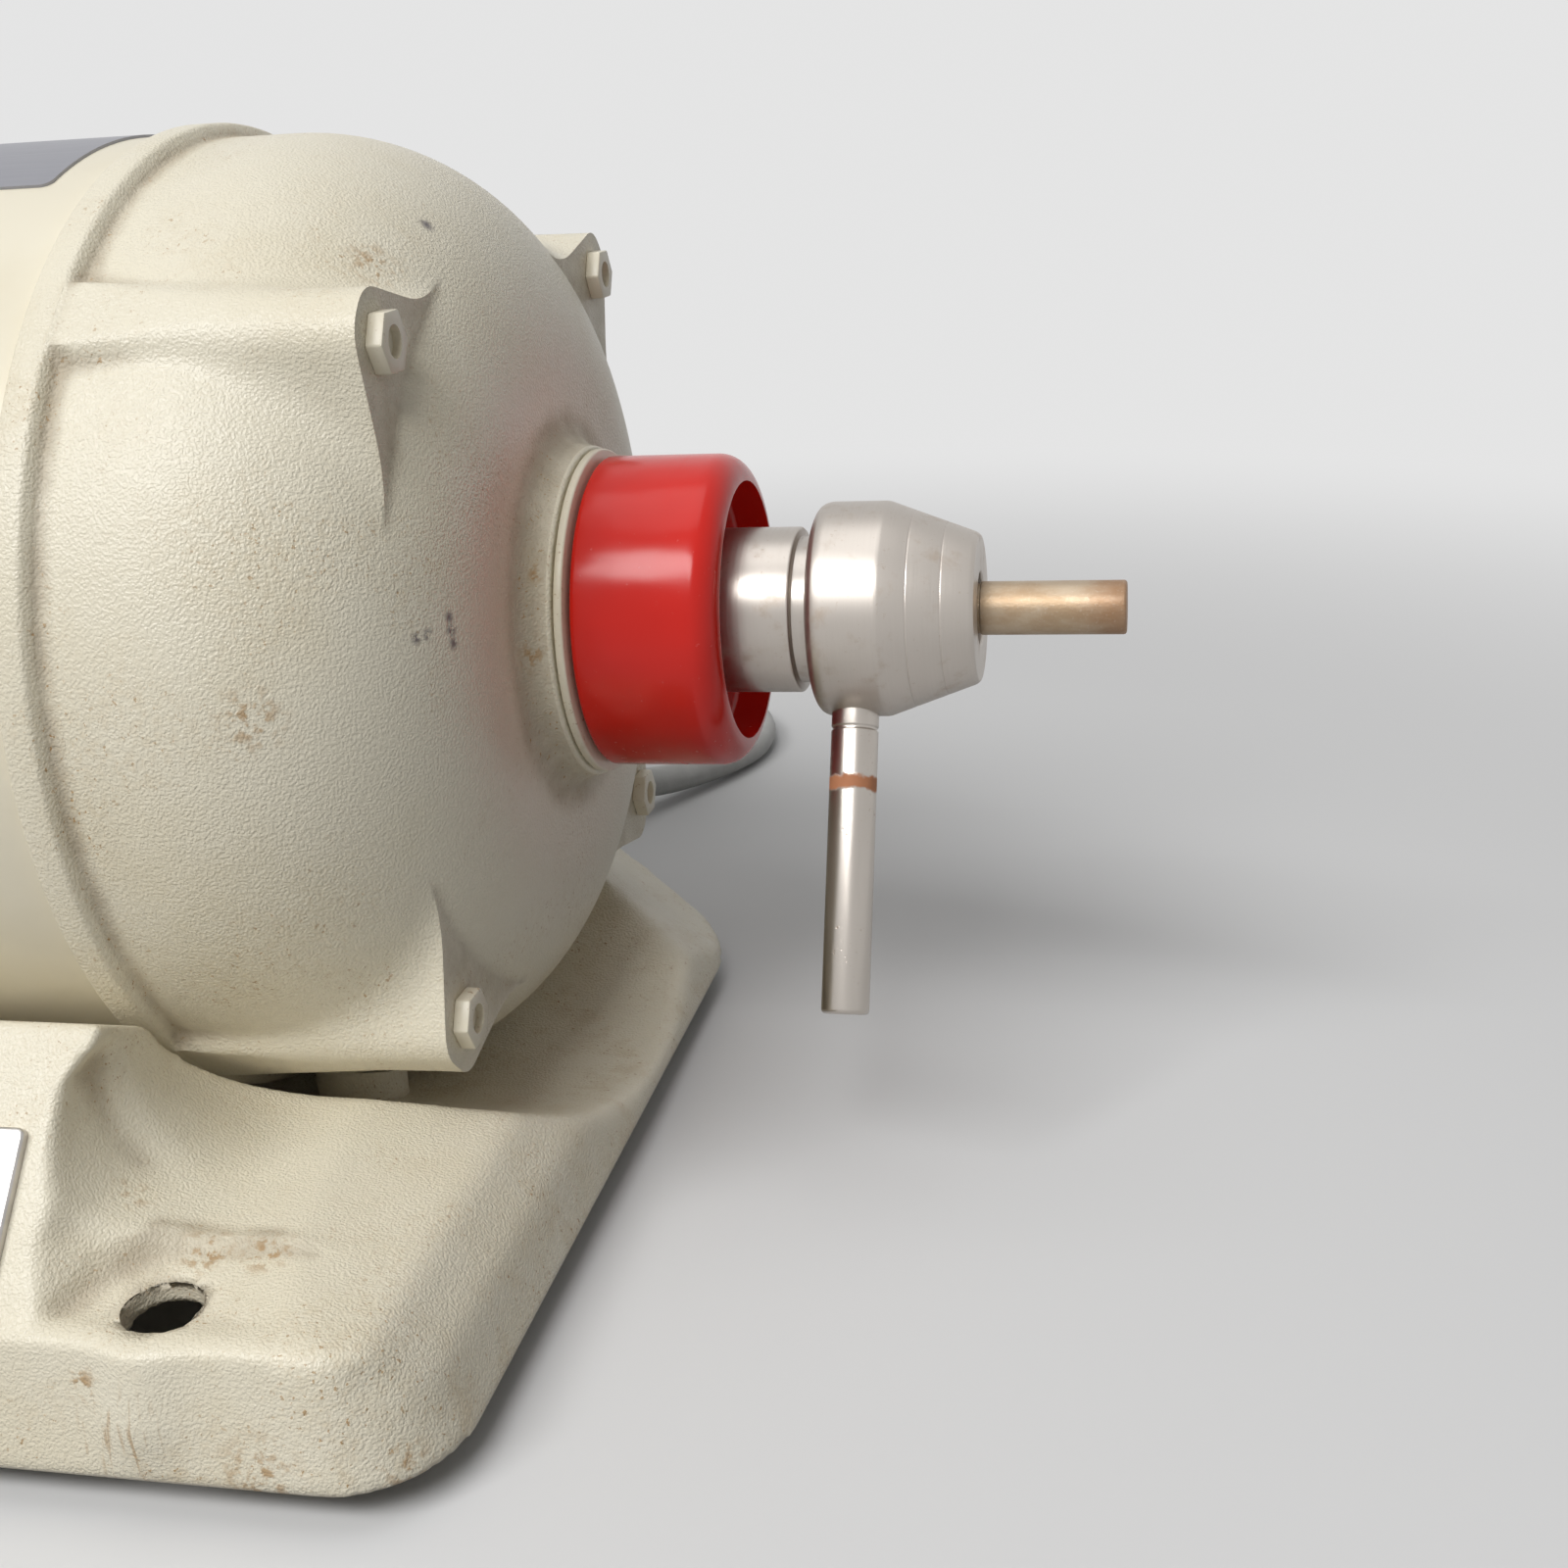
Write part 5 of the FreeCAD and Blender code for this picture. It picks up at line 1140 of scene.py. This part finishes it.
def soft_light(name, power, width, depth, spot, target):
    """A rectangular lamp, with its size and places in metres."""
    light = bpy.data.lights.new(name, "AREA")
    light.shape = "RECTANGLE"
    light.size = width
    light.size_y = depth
    light.energy = power
    lamp = add_object(name, light)
    lamp.location = spot
    lamp.rotation_euler = (Vector(target) - Vector(spot)).to_track_quat("-Z", "Y").to_euler()


def studio_world(stage):
    """An even sky that looks as pale as the far floor."""
    world = bpy.data.worlds.new("studio")
    world.use_nodes = True
    nodes = Nodes(world.node_tree)
    sky = nodes.tree.nodes["Background"]
    nodes.feed(sky.inputs["Color"], (1, 1, 1, 1))
    nodes.feed(sky.inputs["Strength"], stage.sky)
    pale = nodes.add("Background", {"Color": (*[stage.backdrop] * 3, 1)})
    mix = nodes.add("MixShader", {0: nodes.seen_directly(), 1: sky.outputs[0], 2: pale.outputs[0]})
    nodes.feed(nodes.tree.nodes["World Output"].inputs[0], mix.outputs[0])
    return world


def studio_floor(stage):
    """Pale paper that fades into the backdrop away from the object and keeps its shadow near it."""
    paper = Finish("floor")
    seen = paper.seen_directly()
    paper.done(base_color=paper.mix(seen, stage.floor_shade, stage.floor), roughness=0.7)
    away = paper.add("VectorMath", {0: paper.here}, operation="LENGTH")
    far = paper.value(away, "Value").step(0.3, 0.75)
    glow = paper.add("Emission", {"Color": (*[stage.backdrop] * 3, 1), "Strength": 1})
    mix = paper.add("MixShader", {0: far * seen, 1: paper.shader.outputs[0], 2: glow.outputs[0]})
    paper.feed(paper.tree.nodes["Material Output"].inputs[0], mix.outputs[0])
    return paper.material


class LATHE_OT_stage(bpy.types.Operator):
    """Set the floor, the lights and the camera"""
    bl_idname = "lathe.stage"
    bl_label = "Stage"

    def execute(self, context):
        scene = context.scene
        stage = scene.lathe_stage
        scene.view_settings.view_transform = "Standard"
        grid = bmesh.new()
        bmesh.ops.create_grid(grid, x_segments=1, y_segments=1, size=6)
        floor = add_object("floor", as_mesh(grid, "floor"))
        floor.data.materials.append(studio_floor(stage))
        soft_light("key", stage.key_power, 1.5, 0.55, (-0.36, -1.17, 1.40), (0, 0, 0.08))
        soft_light("top", stage.top_power, 1.4, 1.4, (0, 0.15, 2.2), (0.02, 0, 0.08))
        scene.world = studio_world(stage)
        right = Vector((math.cos(CAMERA_TURN), math.sin(CAMERA_TURN), 0))
        ahead = Vector((-math.sin(CAMERA_TURN) * math.cos(CAMERA_DIP),
                        math.cos(CAMERA_TURN) * math.cos(CAMERA_DIP), -math.sin(CAMERA_DIP)))
        up = right.cross(ahead)
        across = right * math.cos(CAMERA_ROLL) + up * math.sin(CAMERA_ROLL)
        upward = up * math.cos(CAMERA_ROLL) - right * math.sin(CAMERA_ROLL)
        lens = bpy.data.cameras.new("camera")
        lens.lens = stage.lens
        lens.sensor_width = 36
        lens.clip_start = 0.01
        camera = add_object("camera", lens)
        axes = Matrix((across, upward, -ahead)).transposed().to_4x4()
        camera.matrix_world = Matrix.Translation(CAMERA_SPOT) @ axes
        scene.camera = camera
        return {"FINISHED"}


OPERATORS = (
    LATHE_OT_stage, LATHE_OT_cord, LATHE_OT_base, LATHE_OT_bells, LATHE_OT_shell, LATHE_OT_fasteners,
    LATHE_OT_release, LATHE_OT_chuck, LATHE_OT_screw, LATHE_OT_switch, LATHE_OT_inside,
)


class LATHE_PT_pieces(bpy.types.Panel):
    """Lists the lathe's pieces"""
    bl_idname = "LATHE_PT_pieces"
    bl_label = "Polishing lathe"
    bl_space_type = "VIEW_3D"
    bl_region_type = "UI"
    bl_category = "Lathe"

    def draw(self, context):
        for operator in OPERATORS:
            self.layout.operator(operator.bl_idname)


GROUPS = {"lathe_colours": LatheColours, "lathe_shapes": LatheShapes, "lathe_stage": LatheStage}
CLASSES = (*GROUPS.values(), *OPERATORS, LATHE_PT_pieces)


def register():
    for kind in CLASSES:
        bpy.utils.register_class(kind)
    for name, group in GROUPS.items():
        setattr(bpy.types.Scene, name, bpy.props.PointerProperty(type=group))


def unregister():
    for name in GROUPS:
        delattr(bpy.types.Scene, name)
    for kind in reversed(CLASSES):
        bpy.utils.unregister_class(kind)


def main():
    register()
    for operator in OPERATORS:
        family, action = operator.bl_idname.split(".")
        getattr(getattr(bpy.ops, family), action)()


if __name__ == "__main__":
    main()
